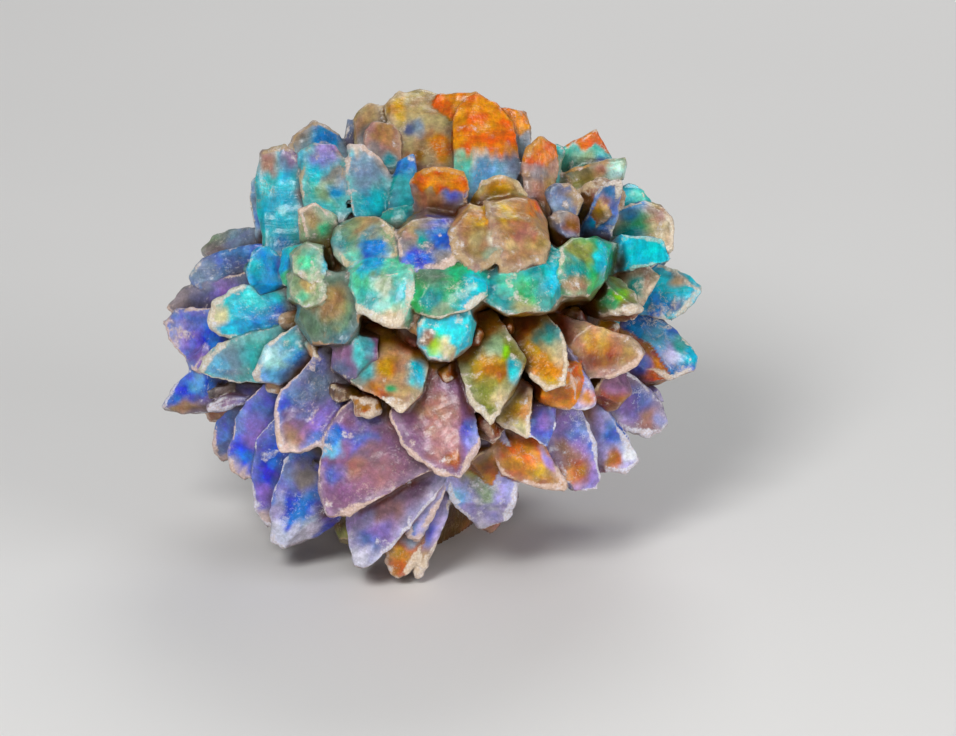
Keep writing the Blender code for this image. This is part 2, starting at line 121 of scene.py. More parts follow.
# Finding the fine surface
ROOT_BURIAL = 0.84
SHARP_EDGE_COSINE = 0.78
FAR_AWAY = 9.0
GAP_SEEN = 1.4
NOT_ON_A_CRYSTAL = 0.5
SPECK = 400
HIDDEN_DEPTH = 1.0
RECESS_PROBE = 1.5
CREASE_PROBE = 0.8

# Painting and wearing it
FACE_TINTS = (0.84, 1.14)
HUE_TINTS = (0.93, 1.07)
GLOW_STRENGTH = 0.95
GLOW_FADE = (0.4, 1.5)
ORANGE_CAP = (0.82, 1.0)
OTHER_CAP = (0.1, 0.85)
RIM_SHARE = 0.78
BUMP_SIZES = (5.0, 2.2, 1.15)
BUMP_HEIGHTS = (0.20, 0.13, 0.09)
STEP_HEIGHT = 0.12
HOLLOW_DEPTH = 0.20
EDGE_ROUNDING = 0.18

GOLDEN_TURN = math.pi * (3 - math.sqrt(5))

# A place of the face view, as (across, up)
Place = tuple[float, float]


class Hue(Enum):
    """Colours of the specimen, as sRGB hex."""

    SAND = "bfa37a"
    PALE_SAND = "ddc79c"
    TAN = "ab835a"
    CREAM = "efe1ca"
    PINK_CREAM = "e9cdbd"
    FROST = "e4e4f0"
    ROSE = "ad806c"
    ORANGE = "ee8612"
    DEEP_ORANGE = "e67a18"
    HONEY = "d6a04a"
    AMBER = "b0681c"
    RUST = "88491f"
    UMBER = "65411c"
    DUSK = "382a20"
    CYAN = "22cbe0"
    AQUA = "54bcc0"
    AZURE = "2a9ede"
    BLUE = "4080d4"
    ROYAL = "4a70dc"
    INDIGO = "6878c8"
    VIOLET = "957ac4"
    MAUVE = "866084"
    PINK_MAUVE = "a87c80"
    LAVENDER = "aaa4d8"
    SLATE = "5c6a8c"
    GREY_BLUE = "8298ae"
    SMOKE = "8b7f7c"
    TEAL = "209c9e"
    DEEP_TEAL = "1a6a72"
    MINT = "74d8ba"
    GREEN = "48b678"
    LIME = "9ed234"
    MOSS = "687e6c"
    OLIVE = "8f8c48"
    SAGE = "97ac88"
    SKY = "7cc0ea"
    ICE = "aee8de"

    @property
    def linear(self) -> np.ndarray:
        """The colour in linear light."""
        parts = np.array([int(self.value[at:at + 2], 16) for at in (0, 2, 4)]) / 255
        return np.where(parts <= 0.04045, parts / 12.92, ((parts + 0.055) / 1.055) ** 2.4)


# The hues by their names alone, for the tables
(SAND, PALE_SAND, TAN, CREAM, PINK_CREAM, FROST, ROSE, ORANGE, DEEP_ORANGE, HONEY, AMBER, RUST, UMBER,
 DUSK, CYAN, AQUA, AZURE, BLUE, ROYAL, INDIGO, VIOLET, MAUVE, PINK_MAUVE, LAVENDER, SLATE, GREY_BLUE,
 SMOKE, TEAL, DEEP_TEAL, MINT, GREEN, LIME, MOSS, OLIVE, SAGE, SKY, ICE) = Hue


@dataclass(frozen=True)
class Form:
    """How a spear ends and narrows, as shares of its own width and thickness."""

    point: float
    blunt: float
    root: float
    roof: float
    wedge: float
    chips: int


class Habit(Enum):
    """The shapes of crystal that the cluster has."""

    SPEAR = Form(1.30, 0.09, 0.88, 0.50, 0.90, 2)
    BLADE = Form(0.75, 0.22, 0.92, 0.40, 0.60, 3)
    CHISEL = Form(0.70, 0.28, 0.92, 0.30, 0.45, 2)
    BLUNT = Form(0.45, 0.45, 0.92, 0.25, 0.25, 3)
    BLOCK = Form(0.24, 0.60, 0.95, 0.16, 0.15, 5)
    PYRAMID = Form(0.75, 0.06, 0.95, 0.30, 0.80, 1)
def half_loop(corners: list[Place]) -> list[Place]:
    """Keeps the corners of a sorted row that turn left, one side of the loop round them all.

    Args:
        corners: Places sorted from left to right, or from right to left.

    Returns:
        The corners of that side.
    """
    kept: list[Place] = []
    for corner in corners:
        while len(kept) > 1:
            (x, y), (last_x, last_y) = kept[-2:]
            if (last_x - x) * (corner[1] - y) - (last_y - y) * (corner[0] - x) > 0:
                break
            kept.pop()
        kept.append(corner)
    return kept


@dataclass(frozen=True)
class Outline:
    """The outline of a crystal's front as the face view shows it, counterclockwise, as (across, up).

    Each crease is a line (from across, up, to across, up) and how steeply the front falls away from the
    viewer on the right of that line. A rooted outline gets two more corners where the crystal's root is.
    """

    corners: tuple[Place, ...]
    creases: tuple[tuple[float, float, float, float, float], ...] = ()
    rooted: bool = True

    def closed(self, tip: Place, root: Place, width: float) -> list[Place]:
        """Works out the whole outline.

        Args:
            tip: Where the crystal ends.
            root: Where it comes out of the heart.
            width: Its broad side.

        Returns:
            The corners with those of the root, counterclockwise from the leftmost one.
        """
        corners = list(self.corners)
        if self.rooted:
            run, rise = tip[0] - root[0], tip[1] - root[1]
            length = math.hypot(run, rise)
            for side in (-1, 1):
                corners.append((round(root[0] - rise / length * side * ROOT_CORNER * width, 1),
                                round(root[1] + run / length * side * ROOT_CORNER * width, 1)))
        corners.sort()
        return half_loop(corners)[:-1] + half_loop(corners[::-1])[:-1]


@dataclass(frozen=True)
class Glow:
    """A soft patch of fire: its colour, where it lies from the tip as the face shows it, and its size."""

    hue: Hue
    right: float
    up: float
    size: float
    stretch: float = 1.0


@dataclass(frozen=True)
class Finish:
    """How one crystal is coloured: body, patches of fire, tip, rim crust, and the hue of the painted shade
    in its recesses and on its undersides.
    """

    body: Hue
    glows: tuple[Glow, ...] = ()
    rim: Hue = CREAM
    crust: float = 0.5
    cap: Hue | None = None
    cap_depth: float = 0.0
    # The hue of painted shade, for recesses, faces turned downward and small crystals in the gaps.
    under: Hue = UMBER


@dataclass(frozen=True)
class Spear:
    """One crystal of the visible face.

    tip is (across, up, towards the viewer) and root is (across, up) from the growth centre as seen at
    FACE_ELEVATION. An outline is that of its front, for a crystal that is carved to one. turn rolls the
    broad side in degrees. For the others, lean moves the apex sideways in half widths, and ledge is where
    a shorter crystal grown parallel to this one stands, in half widths, or None.
    """

    name: str
    tip: tuple[float, float, float]
    root: Place
    width: float
    thick: float
    habit: Habit
    finish: Finish
    outline: Outline | None = None
    lean: float = 0.0
    turn: float = 0.0
    ledge: float | None = None


CROWN = (
    Spear("sand_slab", (-2, 48.4, -3), (1.2, 24), 16, 12, Habit.BLUNT,
        Finish(SAND, (Glow(SLATE, -2.4, -7.4, 1.8), Glow(GREY_BLUE, 0.6, -7.4, 1.8),
        Glow(HONEY, -5, -4, 2.2), Glow(TAN, 2.4, -10, 3), Glow(RUST, -1.4, -13, 2.2),
        Glow(ORANGE, 4.6, -11, 2.2, 1.4), Glow(ROSE, 1, -17, 2.6)), PALE_SAND, 0.7,
        under=RUST),
        Outline(((-9, 45.3), (-8.3, 40.7), (4.8, 44.1), (2, 47.6), (-1.9, 48.7), (-6.5, 47.8)),
        ((3.5, 43.2, -8.6, 44.5, 0.6),))),
    Spear("sand_knob", (-12.8, 45.6, -5), (-8, 26), 6.8, 7, Habit.BLUNT,
        Finish(SAND, (Glow(TAN, -1, -5, 2), Glow(GREY_BLUE, 2, -7, 3)), PALE_SAND, 0.8),
        Outline(((-15.5, 42.4), (-15.2, 38.2), (-8.8, 42.8), (-10, 45.3), (-12.2, 45.9), (-14.3, 44.7)))),
    Spear("grey_sliver", (-16.2, 43, -9), (-12.6, 26), 2.8, 5, Habit.CHISEL,
        Finish(GREY_BLUE, (Glow(SLATE, 0, -5, 3),), CREAM, 0.3),
        Outline(((-17.1, 33.9), (-15.5, 42.6), (-17, 43.1)))),
    Spear("mauve_prism", (-10, 41.6, 5), (-6, 21), 7.2, 8, Habit.BLUNT,
        Finish(ROSE, (Glow(TEAL, 1.6, -8, 2.6), Glow(SMOKE, -1.4, -5.6, 2.2),
        Glow(TAN, 0, -1.5, 2.2)), SAND, 0.5),
        Outline(((-13.5, 37.4), (-5.8, 38.9), (-7.8, 41.5), (-11.8, 41.8), (-13.2, 40.1)),
        ((-9.5, 30.1, -10.2, 41.6, 0.5),))),
    Spear("rosy_topped_blade", (-11.6, 38.4, 15), (-9.6, 16), 8.8, 9, Habit.SPEAR,
        Finish(AQUA, (Glow(GREY_BLUE, -1.4, -5.5, 3), Glow(ROSE, 2.8, -3.5, 2.4, 1.6),
        Glow(GREY_BLUE, 0, -8, 3), Glow(CYAN, 0.5, -15, 3.5)), PINK_CREAM, 1, PINK_CREAM,
        3, DEEP_TEAL),
        Outline(((-16.2, 37.1), (-15.8, 29.9), (-14.2, 21.6), (-7.2, 27.4), (-8, 32.4), (-12.3, 36.6)),
        ((-12.3, 20.7, -10.7, 35.7, 0.5),))),
    Spear("blue_fin", (-4.6, 38.8, 12), (-4.6, 16), 5, 7, Habit.CHISEL,
        Finish(TEAL, (Glow(SMOKE, 0, -1.5, 2.4), Glow(BLUE, 0.3, -6, 2.6),
        Glow(AQUA, -0.5, -11, 3)), CREAM, 0.35, under=DEEP_TEAL),
        Outline(((-8.2, 21.1), (-2.5, 27.4), (-2.8, 35.1), (-5.8, 33.9), (-7.8, 27.4)))),
    Spear("orange_pyramid", (9.4, 47.8, 6), (9.8, 22), 13.5, 12, Habit.PYRAMID,
        Finish(GREY_BLUE, (Glow(MINT, -3, -14, 3, 1.6), Glow(CREAM, 0.5, -13, 1.6, 2),
        Glow(SKY, 1.5, -17, 3)), ORANGE, 0.3, ORANGE, 11.6, RUST),
        Outline(((4.6, 37), (16.5, 29.2), (17.5, 32.2), (16.5, 40.9), (13.5, 45.3), (9.8, 47.8), (7, 46.1),
        (4.9, 42.8)), ((9.1, 45.1, 5.1, 33.9, 0.5), (16, 31.2, 10.6, 45.1, 0.45)))),
    Spear("orange_shoulder", (6, 47.4, 0), (6.4, 26), 9, 9, Habit.BLUNT,
        Finish(TAN, (Glow(OLIVE, -2, -3, 2.4),), HONEY, 0.8, ORANGE, 6, RUST),
        Outline(((-1.8, 37), (10.5, 43.9), (9.3, 47.6), (5.1, 47.8), (1.2, 47.3), (-1.1, 43.6)),
        ((5.1, 47.6, 1.2, 32, 0.5),))),
    Spear("orange_flank", (17.4, 44.4, 3), (15.6, 26), 6.4, 8, Habit.CHISEL,
        Finish(SMOKE, (Glow(GREY_BLUE, 1, -7, 2.5),), TAN, 0.6, ORANGE, 4.5, UMBER),
        Outline(((19.8, 37.4), (19.8, 40.9), (18.3, 44.2), (14.7, 44.6)), ((18.2, 30.1, 17, 44.3, 0.5),))),
    Spear("small_orange_tip", (22, 38.2, 14), (21, 18), 7.4, 7.5, Habit.PYRAMID,
        Finish(ROSE, (Glow(SMOKE, -0.5, -7.5, 2), Glow(TAN, 1, -11, 2.6)), HONEY, 0.5,
        ORANGE, 4.4, UMBER),
        Outline(((18.2, 32.4), (25.1, 28.7), (25.7, 32.2), (24.8, 36.8), (21.6, 38.5), (19.5, 36.8)),
        ((22.6, 28.2, 22.2, 38.2, 0.6),))),
    Spear("teal_nub", (25.4, 37.6, 4), (23.8, 22), 3.2, 4, Habit.BLUNT,
        Finish(AQUA, (Glow(SAGE, 0, -3, 2),), CREAM, 0.3)),
    Spear("orange_tipped_fin", (31.6, 41, -2), (29, 20), 10.5, 8, Habit.SPEAR,
        Finish(AQUA, (Glow(MINT, -3.4, -8, 4), Glow(BLUE, 2.2, -6.5, 1.8),
        Glow(SAGE, 0, -5.5, 2.2)), CREAM, 0.4, DEEP_ORANGE, 3.8),
        Outline(((24.8, 35.3), (35.8, 35.1), (33.1, 40.9)), ((26, 35.3, 35.8, 34.9, 0.5),))),
    Spear("olive_slab", (38.2, 33, 8), (23, 26), 6.5, 9, Habit.CHISEL,
        Finish(SAGE, (Glow(OLIVE, -7, -3.5, 4), Glow(TAN, -4, 0, 2), Glow(ICE, -1, -1, 2)),
        HONEY, 0.6, under=RUST),
        Outline(((38.3, 30.6), (39, 34.7), (33.5, 33.9), (26.4, 31.6)))),
    Spear("brown_ridge", (36.4, 28, 20), (25, 20), 7.5, 8, Habit.BLUNT,
        Finish(TAN, (Glow(RUST, -4, 0, 2.5), Glow(HONEY, -2, -3, 2)), PALE_SAND, 1,
        under=RUST)),
    Spear("striped_shell", (35.6, 27.6, 24), (29, 14), 7, 8, Habit.SPEAR,
        Finish(BLUE, (Glow(ROSE, -1, -2, 1.6), Glow(AZURE, -3.6, -7.5, 2.4)), CREAM, 1),
        Outline(((35.8, 19.5), (37.5, 24.1), (37.5, 29.5), (34.3, 28.6), (31, 23.2)),
        ((31.8, 19.1, 35.6, 29.1, 0.4),))),
    Spear("violet_plate", (26.4, 28, 26), (23, 14), 8.4, 9, Habit.BLUNT,
        Finish(SLATE, (Glow(TAN, 2.5, -1.5, 2.2), Glow(GREY_BLUE, -1, -4, 2.5)), SAND,
        0.6),
        Outline(((23.1, 27.4), (24.8, 22), (28.5, 21.1), (30.2, 25.7), (28.1, 28.6), (24.8, 28.6)),
        rooted=False)),
    Spear("violet_pocket", (27, 20.8, 32), (24, 14), 6.4, 7, Habit.BLUNT,
        Finish(SMOKE, (Glow(SLATE, 0.5, -2, 2.5), Glow(RUST, 2, 0, 2)), SAND, 0.5)),
)

UPPER_LEFT = (
    Spear("back_wedge", (-23.6, 41.6, -6), (-17.6, 24), 11, 9, Habit.BLADE,
        Finish(GREY_BLUE, (Glow(TAN, -4.4, -1.6, 3), Glow(AZURE, 2.5, -3.4, 2.6)), SAND,
        0.8, under=DEEP_TEAL),
        Outline(((-27.8, 37.4), (-16.3, 37.8), (-21.3, 41.5), (-23.5, 42.1), (-27.4, 39.5)),
        ((-21.5, 33.2, -23.4, 41.8, 0.4),))),
    Spear("cyan_tower", (-28.6, 35.2, 15), (-28.6, 12), 11.2, 12, Habit.BLUNT,
        Finish(AQUA, (Glow(SMOKE, 3.8, -8, 2.4, 1.6), Glow(CYAN, -0.6, -4.8, 2.6),
        Glow(CYAN, 0.8, -9.6, 2.2), Glow(CYAN, -2.4, -13.6, 3.4), Glow(MAUVE, 1.6, -0.2, 3),
        Glow(ROSE, -4, -1.4, 2.2), Glow(AZURE, -1, -19, 3)), SAND, 0.6, under=DEEP_TEAL),
        Outline(((-34.4, 30.7), (-34, 22.4), (-32.8, 15.7), (-24.8, 17.4), (-24.8, 27.4), (-25.7, 34.1),
        (-29, 37), (-33.6, 35.7)))),
    Spear("cyan_tower_twin", (-20, 36.4, 16), (-18.4, 13), 9.2, 11, Habit.BLUNT,
        Finish(AQUA, (Glow(CYAN, -1.4, -5, 2.4), Glow(SMOKE, 2, -6, 2.6),
        Glow(SAGE, 0.6, -9, 2.4), Glow(AZURE, 2.6, -8.6, 1.8), Glow(VIOLET, -1, -0.6, 3.4),
        Glow(ROSE, 3, 0, 2.4)), SAND, 0.6, under=DEEP_TEAL),
        Outline(((-25.7, 35.7), (-24.8, 27.4), (-16.5, 33.2), (-19, 36.6), (-23.2, 37)))),
    Spear("sky_sliver", (-33.8, 30.6, 8), (-32.6, 12.4), 3.4, 8, Habit.CHISEL,
        Finish(GREY_BLUE, (Glow(SKY, 0.3, -2.5, 2.2), Glow(BLUE, 0.6, -9, 2.2)), CREAM,
        0.4),
        Outline(((-35.7, 25.9), (-32.6, 29.3), (-33.8, 31.6), (-35.5, 30.1)))),
    Spear("green_knob", (-21.8, 23, 31), (-18.4, 12.4), 8.4, 8, Habit.BLUNT,
        Finish(SAGE, (Glow(TAN, -1.6, -1, 2), Glow(GREEN, 1.6, -3.4, 1.8)), PINK_CREAM,
        0.9, under=OLIVE),
        Outline(((-26.1, 23.2), (-25.2, 17.8), (-20.7, 16.1), (-16.9, 19.1), (-17.8, 23.2), (-22.3, 24.9)),
        rooted=False)),
    Spear("cyan_cheek", (-33, 16, 27), (-22, 11.4), 12, 10, Habit.BLUNT,
        Finish(AZURE, (Glow(CYAN, 3, 0.4, 3), Glow(CYAN, -1.6, -3.8, 1.7),
        Glow(BLUE, 4.4, -3, 2)), ICE, 0.3, under=DEEP_TEAL),
        Outline(((-36.1, 11.6), (-35.2, 8.7), (-33.2, 7), (-28.2, 9.1), (-27.3, 13.2), (-31.5, 16.6),
        (-34.8, 15.7)), rooted=False)),
    Spear("teal_hollow", (-26.4, 13, 34), (-18, 8), 9, 9, Habit.BLUNT,
        Finish(TEAL, (Glow(AZURE, -3, 0, 3), Glow(GREEN, -2.4, -4, 1.8)), CREAM, 0.2,
        under=DEEP_TEAL)),
)

LEFT_FRINGE = (
    Spear("fringe_moss", (-43.8, 15.8, -4), (-26, 17.6), 8.2, 8, Habit.CHISEL,
        Finish(SAGE, (Glow(GREY_BLUE, 6, 2.5, 4), Glow(SMOKE, 1, 0, 3)), CREAM, 0.5,
        under=SLATE),
        Outline(((-45.7, 16.4), (-44.2, 14.2), (-38.2, 13.2), (-38.2, 20.5), (-43.3, 19.2)))),
    Spear("fringe_blue", (-47.6, 11.4, 5), (-28, 15), 8.6, 7, Habit.SPEAR,
        Finish(BLUE, (Glow(GREY_BLUE, 2.4, 0.5, 3.4), Glow(SLATE, 9, -0.5, 4)), CREAM,
        0.6),
        Outline(((-47.8, 11.2), (-47.2, 9.7), (-44, 8.9), (-36.5, 8.2), (-39.8, 16.1), (-45, 15.1)))),
    Spear("fringe_slate", (-52.8, 6.2, 0), (-29, 9.6), 8.6, 8, Habit.SPEAR,
        Finish(SLATE, (Glow(SMOKE, 3, 0, 5), Glow(SLATE, 8, -1.5, 4),
        Glow(VIOLET, 11, 2, 2.6)), PINK_CREAM, 0.5, under=DUSK),
        Outline(((-52.8, 5.2), (-50.2, 3.4), (-44, 3.1), (-35.2, 4.9), (-43.2, 10.2), (-49.2, 8.8)))),
    Spear("fringe_rimmed", (-53, -1, 4), (-29, 2.4), 9.6, 8, Habit.CHISEL,
        Finish(INDIGO, (Glow(LAVENDER, 2.5, 0.5, 2.6), Glow(VIOLET, 6, 0, 3),
        Glow(ROYAL, 10, 0, 4)), PINK_CREAM, 1),
        Outline(((-52.8, 2.1), (-51.9, -1.3), (-49, -4.6), (-45.7, -7.3), (-50.7, 4.6)))),
    Spear("fringe_violet", (-48.6, -6.6, 9), (-29, -1), 7.4, 7, Habit.CHISEL,
        Finish(INDIGO, (Glow(VIOLET, 4, 1, 3),), PINK_CREAM, 0.6)),
    Spear("cyan_tongue", (-43.4, 2.2, 22), (-23, 6.8), 9.4, 8, Habit.BLADE,
        Finish(CYAN, (Glow(PALE_SAND, 1.4, 0.8, 2.4), Glow(AZURE, 9, -0.5, 3.4),
        Glow(BLUE, 13, 0.6, 3)), CREAM, 0.9, under=RUST),
        Outline(((-43.2, 2), (-42.8, 0.6), (-40.7, -0.7), (-34, -0.9), (-32.3, 9.1), (-38.2, 8.2),
        (-42.3, 5.7)), ((-42.8, 2, -27.3, 1.6, 0.6),))),
    Spear("teal_blade", (-45.4, -7.6, 19), (-24, -0.6), 8.4, 7.5, Habit.SPEAR,
        Finish(AQUA, (Glow(GREY_BLUE, 6, 1, 4), Glow(SKY, 3, 0.5, 2.4)), CREAM, 0.8),
        Outline(((-45.2, -7.5), (-43.2, -8.9), (-37.3, -10.2), (-29.8, -10.4), (-40.2, -1.7),
        (-43.2, -4.2)), ((-45.2, -7.3, -29, -7.5, 0.5),))),
    Spear("sky_wedge", (-34, -7, 32), (-17, 3), 11.6, 10, Habit.BLADE,
        Finish(SKY, (Glow(AQUA, 8, 5, 2.4), Glow(BLUE, 9, 1, 2), Glow(ICE, 3.5, 2, 2.6)),
        CREAM, 0.7, under=TAN),
        Outline(((-34.2, -8.3), (-33.2, -9.8), (-30.2, -10.8), (-26.5, -10), (-19.8, -5.8), (-32.8, -3.8)),
        ((-34, -7.5, -20.2, -4.6, 0.6),))),
    Spear("low_spear", (-53.2, -14.8, 5), (-30, -8.2), 11.4, 9, Habit.SPEAR,
        Finish(ROYAL, (Glow(SKY, 7, 4.6, 2), Glow(TAN, 3, -0.6, 2, 2.4),
        Glow(UMBER, 11, 0, 3, 2)), FROST, 0.5),
        Outline(((-53.6, -15.4), (-49, -16.4), (-41.5, -15.4), (-47.8, -7.9), (-50.7, -10.4)),
        ((-53.3, -15.3, -37.3, -13.3, 0.6),))),
    Spear("thin_plate", (-43.8, -15.2, 17), (-26, -11), 9, 3, Habit.SPEAR,
        Finish(MAUVE, (Glow(INDIGO, 8, 0.5, 3),), FROST, 0.9), turn=80),
    Spear("dark_plate", (-44.8, -12, 15), (-26, -8.6), 9, 3, Habit.SPEAR,
        Finish(DUSK, (Glow(UMBER, 5, 0, 3), Glow(MAUVE, 9, 0, 2)), CREAM, 0.5), turn=80),
)

LOWER_LEFT = (
    Spear("skirt_nail", (-41.4, -25.8, 6), (-30.6, -9), 6.6, 6, Habit.CHISEL,
        Finish(BLUE, (Glow(INDIGO, 2, 6, 4),), PINK_CREAM, 0.5, PINK_CREAM, 2.2),
        Outline(((-42.7, -23.8), (-41.3, -25.8), (-39.2, -25), (-42.3, -17.5)))),
    Spear("skirt_pair", (-38.6, -28.8, 12), (-26, -8.6), 9.4, 8, Habit.CHISEL,
        Finish(INDIGO, (Glow(ROYAL, 2, 5, 3.4), Glow(VIOLET, 4, 9, 3)), PINK_CREAM, 0.6,
        PINK_CREAM, 2.6),
        Outline(((-39.8, -23.8), (-39.4, -27.1), (-36.9, -29.3), (-34, -26.3), (-38.2, -16.3)),
        ((-36.1, -28.8, -32.2, -17.5, 0.5),))),
    Spear("skirt_long", (-32.8, -37.6, 10), (-23, -13.6), 7.6, 8, Habit.CHISEL,
        Finish(INDIGO, (Glow(VIOLET, 0.8, 5.5, 2.6), Glow(ROYAL, 3, 11, 4)), FROST, 0.6,
        PINK_CREAM, 3),
        Outline(((-35.2, -27.6), (-34.8, -35.6), (-32.4, -38.6), (-29.2, -36.6), (-34.4, -21.2)))),
    Spear("blue_tip", (-28.4, -40.8, 15), (-16.6, -14.6), 13, 10, Habit.BLADE,
        Finish(ROYAL, (Glow(LAVENDER, -2.6, 6, 1.6, 3), Glow(SMOKE, 3.4, 12, 3.4),
        Glow(FROST, 4, 1.4, 2, 2), Glow(UMBER, 8, 6, 2.6)), FROST, 0.7, FROST, 2.2,
        UMBER),
        Outline(((-31.5, -35.6), (-31.2, -40.9), (-29, -42.5), (-26, -41.6), (-21.5, -40.1),
        (-16.8, -36.1), (-27.5, -24.6), (-30.2, -29.6)), ((-28.2, -42.5, -21.5, -32.1, 0.9),))),
    Spear("violet_face", (-27.2, -23, 34), (-11.8, -0.6), 16, 11, Habit.SPEAR,
        Finish(INDIGO, (Glow(MAUVE, 2, 4, 3), Glow(SLATE, 6, 12, 5),
        Glow(ROYAL, -2, 7, 2, 2.4), Glow(VIOLET, 7, 6, 3), Glow(ROSE, 1, 1.6, 2)),
        PINK_CREAM, 0.8, PINK_CREAM, 1.6, DUSK),
        Outline(((-29.7, -15.1), (-29.2, -19.6), (-28.6, -23.6), (-26.5, -24.2), (-20.2, -21.9),
        (-28.5, -11.1)), ((-26.5, -21.9, -12.5, -6.1, 0.3),))),
    Spear("olive_under", (-17.6, -41.4, 8), (-10, -19.6), 9.5, 9, Habit.BLADE,
        Finish(OLIVE, (Glow(UMBER, -3, 4, 3),), SAND, 0.3)),
    # The dusk body of this crystal is painted shade for the recess that it fills.
    Spear("dark_recess", (-22.6, -30, 21), (-8, -14), 12, 9, Habit.BLUNT,
        Finish(DUSK, (Glow(ROYAL, 0, 1, 2.4),), SAND, 0.2, under=DUSK)),
)

LOWER_FRONT = (
    Spear("big_violet", (-18.6, -33.4, 34), (-2, -11), 18, 11, Habit.SPEAR,
        Finish(MAUVE, (Glow(INDIGO, 5, 12, 2.8), Glow(ROSE, 4.6, 8, 2, 1.6),
        Glow(PINK_MAUVE, 9, 6, 4), Glow(INDIGO, 7.5, 18, 3), Glow(INDIGO, 0.6, 5, 1.8, 1.5),
        Glow(SKY, -0.4, 10, 1.3, 1.6), Glow(ROYAL, 0.8, 13, 1.6, 1.6)), PINK_CREAM, 0.8,
        under=AMBER),
        Outline(((-21.3, -31.6), (-19.9, -36.1), (-16.8, -36.1), (-8, -31.6), (1, -26.6), (-16.5, -14.7),
        (-19.8, -20.1), (-21.1, -25.1)), ((-16.5, -15.6, -19.4, -33.6, 0.35),))),
    Spear("mauve_face", (5, -28, 43), (0, -4), 16.5, 11, Habit.BLADE,
        Finish(MAUVE, (Glow(PINK_MAUVE, -2, 6, 4), Glow(INDIGO, 3.4, 8, 1.8, 2),
        Glow(ROSE, -4.4, 13, 4), Glow(AMBER, 0.4, 2.6, 1.3, 1.4),
        Glow(LAVENDER, 4.4, 5, 1.4, 2)), PINK_CREAM, 0.9, under=AMBER),
        Outline(((-7.5, -16.6), (-5.2, -21.6), (0.5, -27.6), (5.8, -28.7), (10.1, -22.6), (9.2, -16.6),
        (6.5, -7.6)), ((5.6, -28.6, 6.5, -13.1, 0.5),))),
    Spear("low_blade", (-13.2, -45.4, 23), (0.8, -19.6), 14, 10, Habit.SPEAR,
        Finish(LAVENDER, (Glow(INDIGO, 1.2, 4.6, 2.2), Glow(PINK_MAUVE, 5, 10.6, 3),
        Glow(VIOLET, 4, 6, 2.4), Glow(MAUVE, 9, 15, 4), Glow(AMBER, -0.4, 13, 2, 1.6)),
        FROST, 1, FROST, 2.6, AMBER),
        Outline(((-16.4, -36.1), (-15.6, -41.6), (-14.6, -45.6), (-12.8, -46.4), (-10.5, -45), (-6, -40.4),
        (-1, -34.6), (3.1, -29.6)), ((-2, -28.9, -15.2, -37.1, 0.8),))),
    Spear("frosted_fan", (-4.6, -42, 22), (2, -18), 10, 8, Habit.SPEAR,
        Finish(LAVENDER, (Glow(BLUE, 0, 5, 1.8, 2), Glow(ROSE, 2, 9, 2.6)), PINK_CREAM, 1),
        Outline(((-4, -39.6), (-2, -40.6), (1, -35.6), (3.5, -29.6), (-3.5, -33.6)))),
    Spear("amber_fin", (-6, -47.8, 18), (-1.4, -24), 6.6, 8, Habit.SPEAR,
        Finish(AMBER, (Glow(HONEY, 0, 4, 2), Glow(GREY_BLUE, 2.4, 9, 1.6, 2),
        Glow(RUST, -2, 8, 2)), CREAM, 0.6),
        Outline(((-8.2, -44.1), (-7.5, -47.9), (-5.9, -48.8), (-4.4, -47.6), (-1.5, -41.6), (1, -34.1)))),
    Spear("long_fin", (-1.8, -47.8, 17), (4.2, -22.6), 9.6, 8, Habit.SPEAR,
        Finish(LAVENDER, (Glow(TAN, 0, 3, 3), Glow(ROYAL, 0.5, 10, 2, 2)), CREAM, 0.8),
        Outline(((-2.8, -48.4), (-1.8, -48.5), (3.4, -36.1), (-2.8, -44.1)))),
    Spear("round_blade", (9.2, -37.6, 23), (9.6, -15.6), 15, 11, Habit.BLADE,
        Finish(LAVENDER, (Glow(OLIVE, 1, 11, 3.4), Glow(AMBER, -1, 13, 2.4),
        Glow(SKY, -4, 5, 2.4), Glow(SAGE, 2, 6, 2.2)), FROST, 1, FROST, 2.4, UMBER),
        Outline(((4, -28.6), (4.2, -32.6), (8.5, -38.5), (11.2, -38.4), (15.2, -36.9), (16.6, -33.6),
        (17.1, -29.4)))),
    Spear("amber_recess", (13, -28, 28), (8, -12), 13, 11, Habit.BLUNT,
        Finish(AMBER, (Glow(UMBER, -3, 3, 3),), SAND, 0.3, under=RUST)),
    Spear("sandy_cyan", (-4.4, -14.8, 47), (-5.6, 3.4), 14, 11, Habit.BLADE,
        Finish(SAND, (Glow(AQUA, -8.4, 9.5, 2.6, 2), Glow(AMBER, -6, 1.8, 3),
        Glow(HONEY, -4, 8, 2.2), Glow(GREEN, -2.2, 4.2, 1.4), Glow(CYAN, 2.4, 7, 1.8, 1.6),
        Glow(ROSE, 2, 13, 2)), CREAM, 0.8, under=AMBER),
        Outline(((-15, -10.6), (-4, -16), (-2, -12.6), (-0.4, -7.1), (-14, -0.6), (-14.8, -5.6)),
        ((-12, -0.6, -11.2, -12.3, 0.6), (-4, -15.6, -3.4, -2.6, 0.6)))),
)

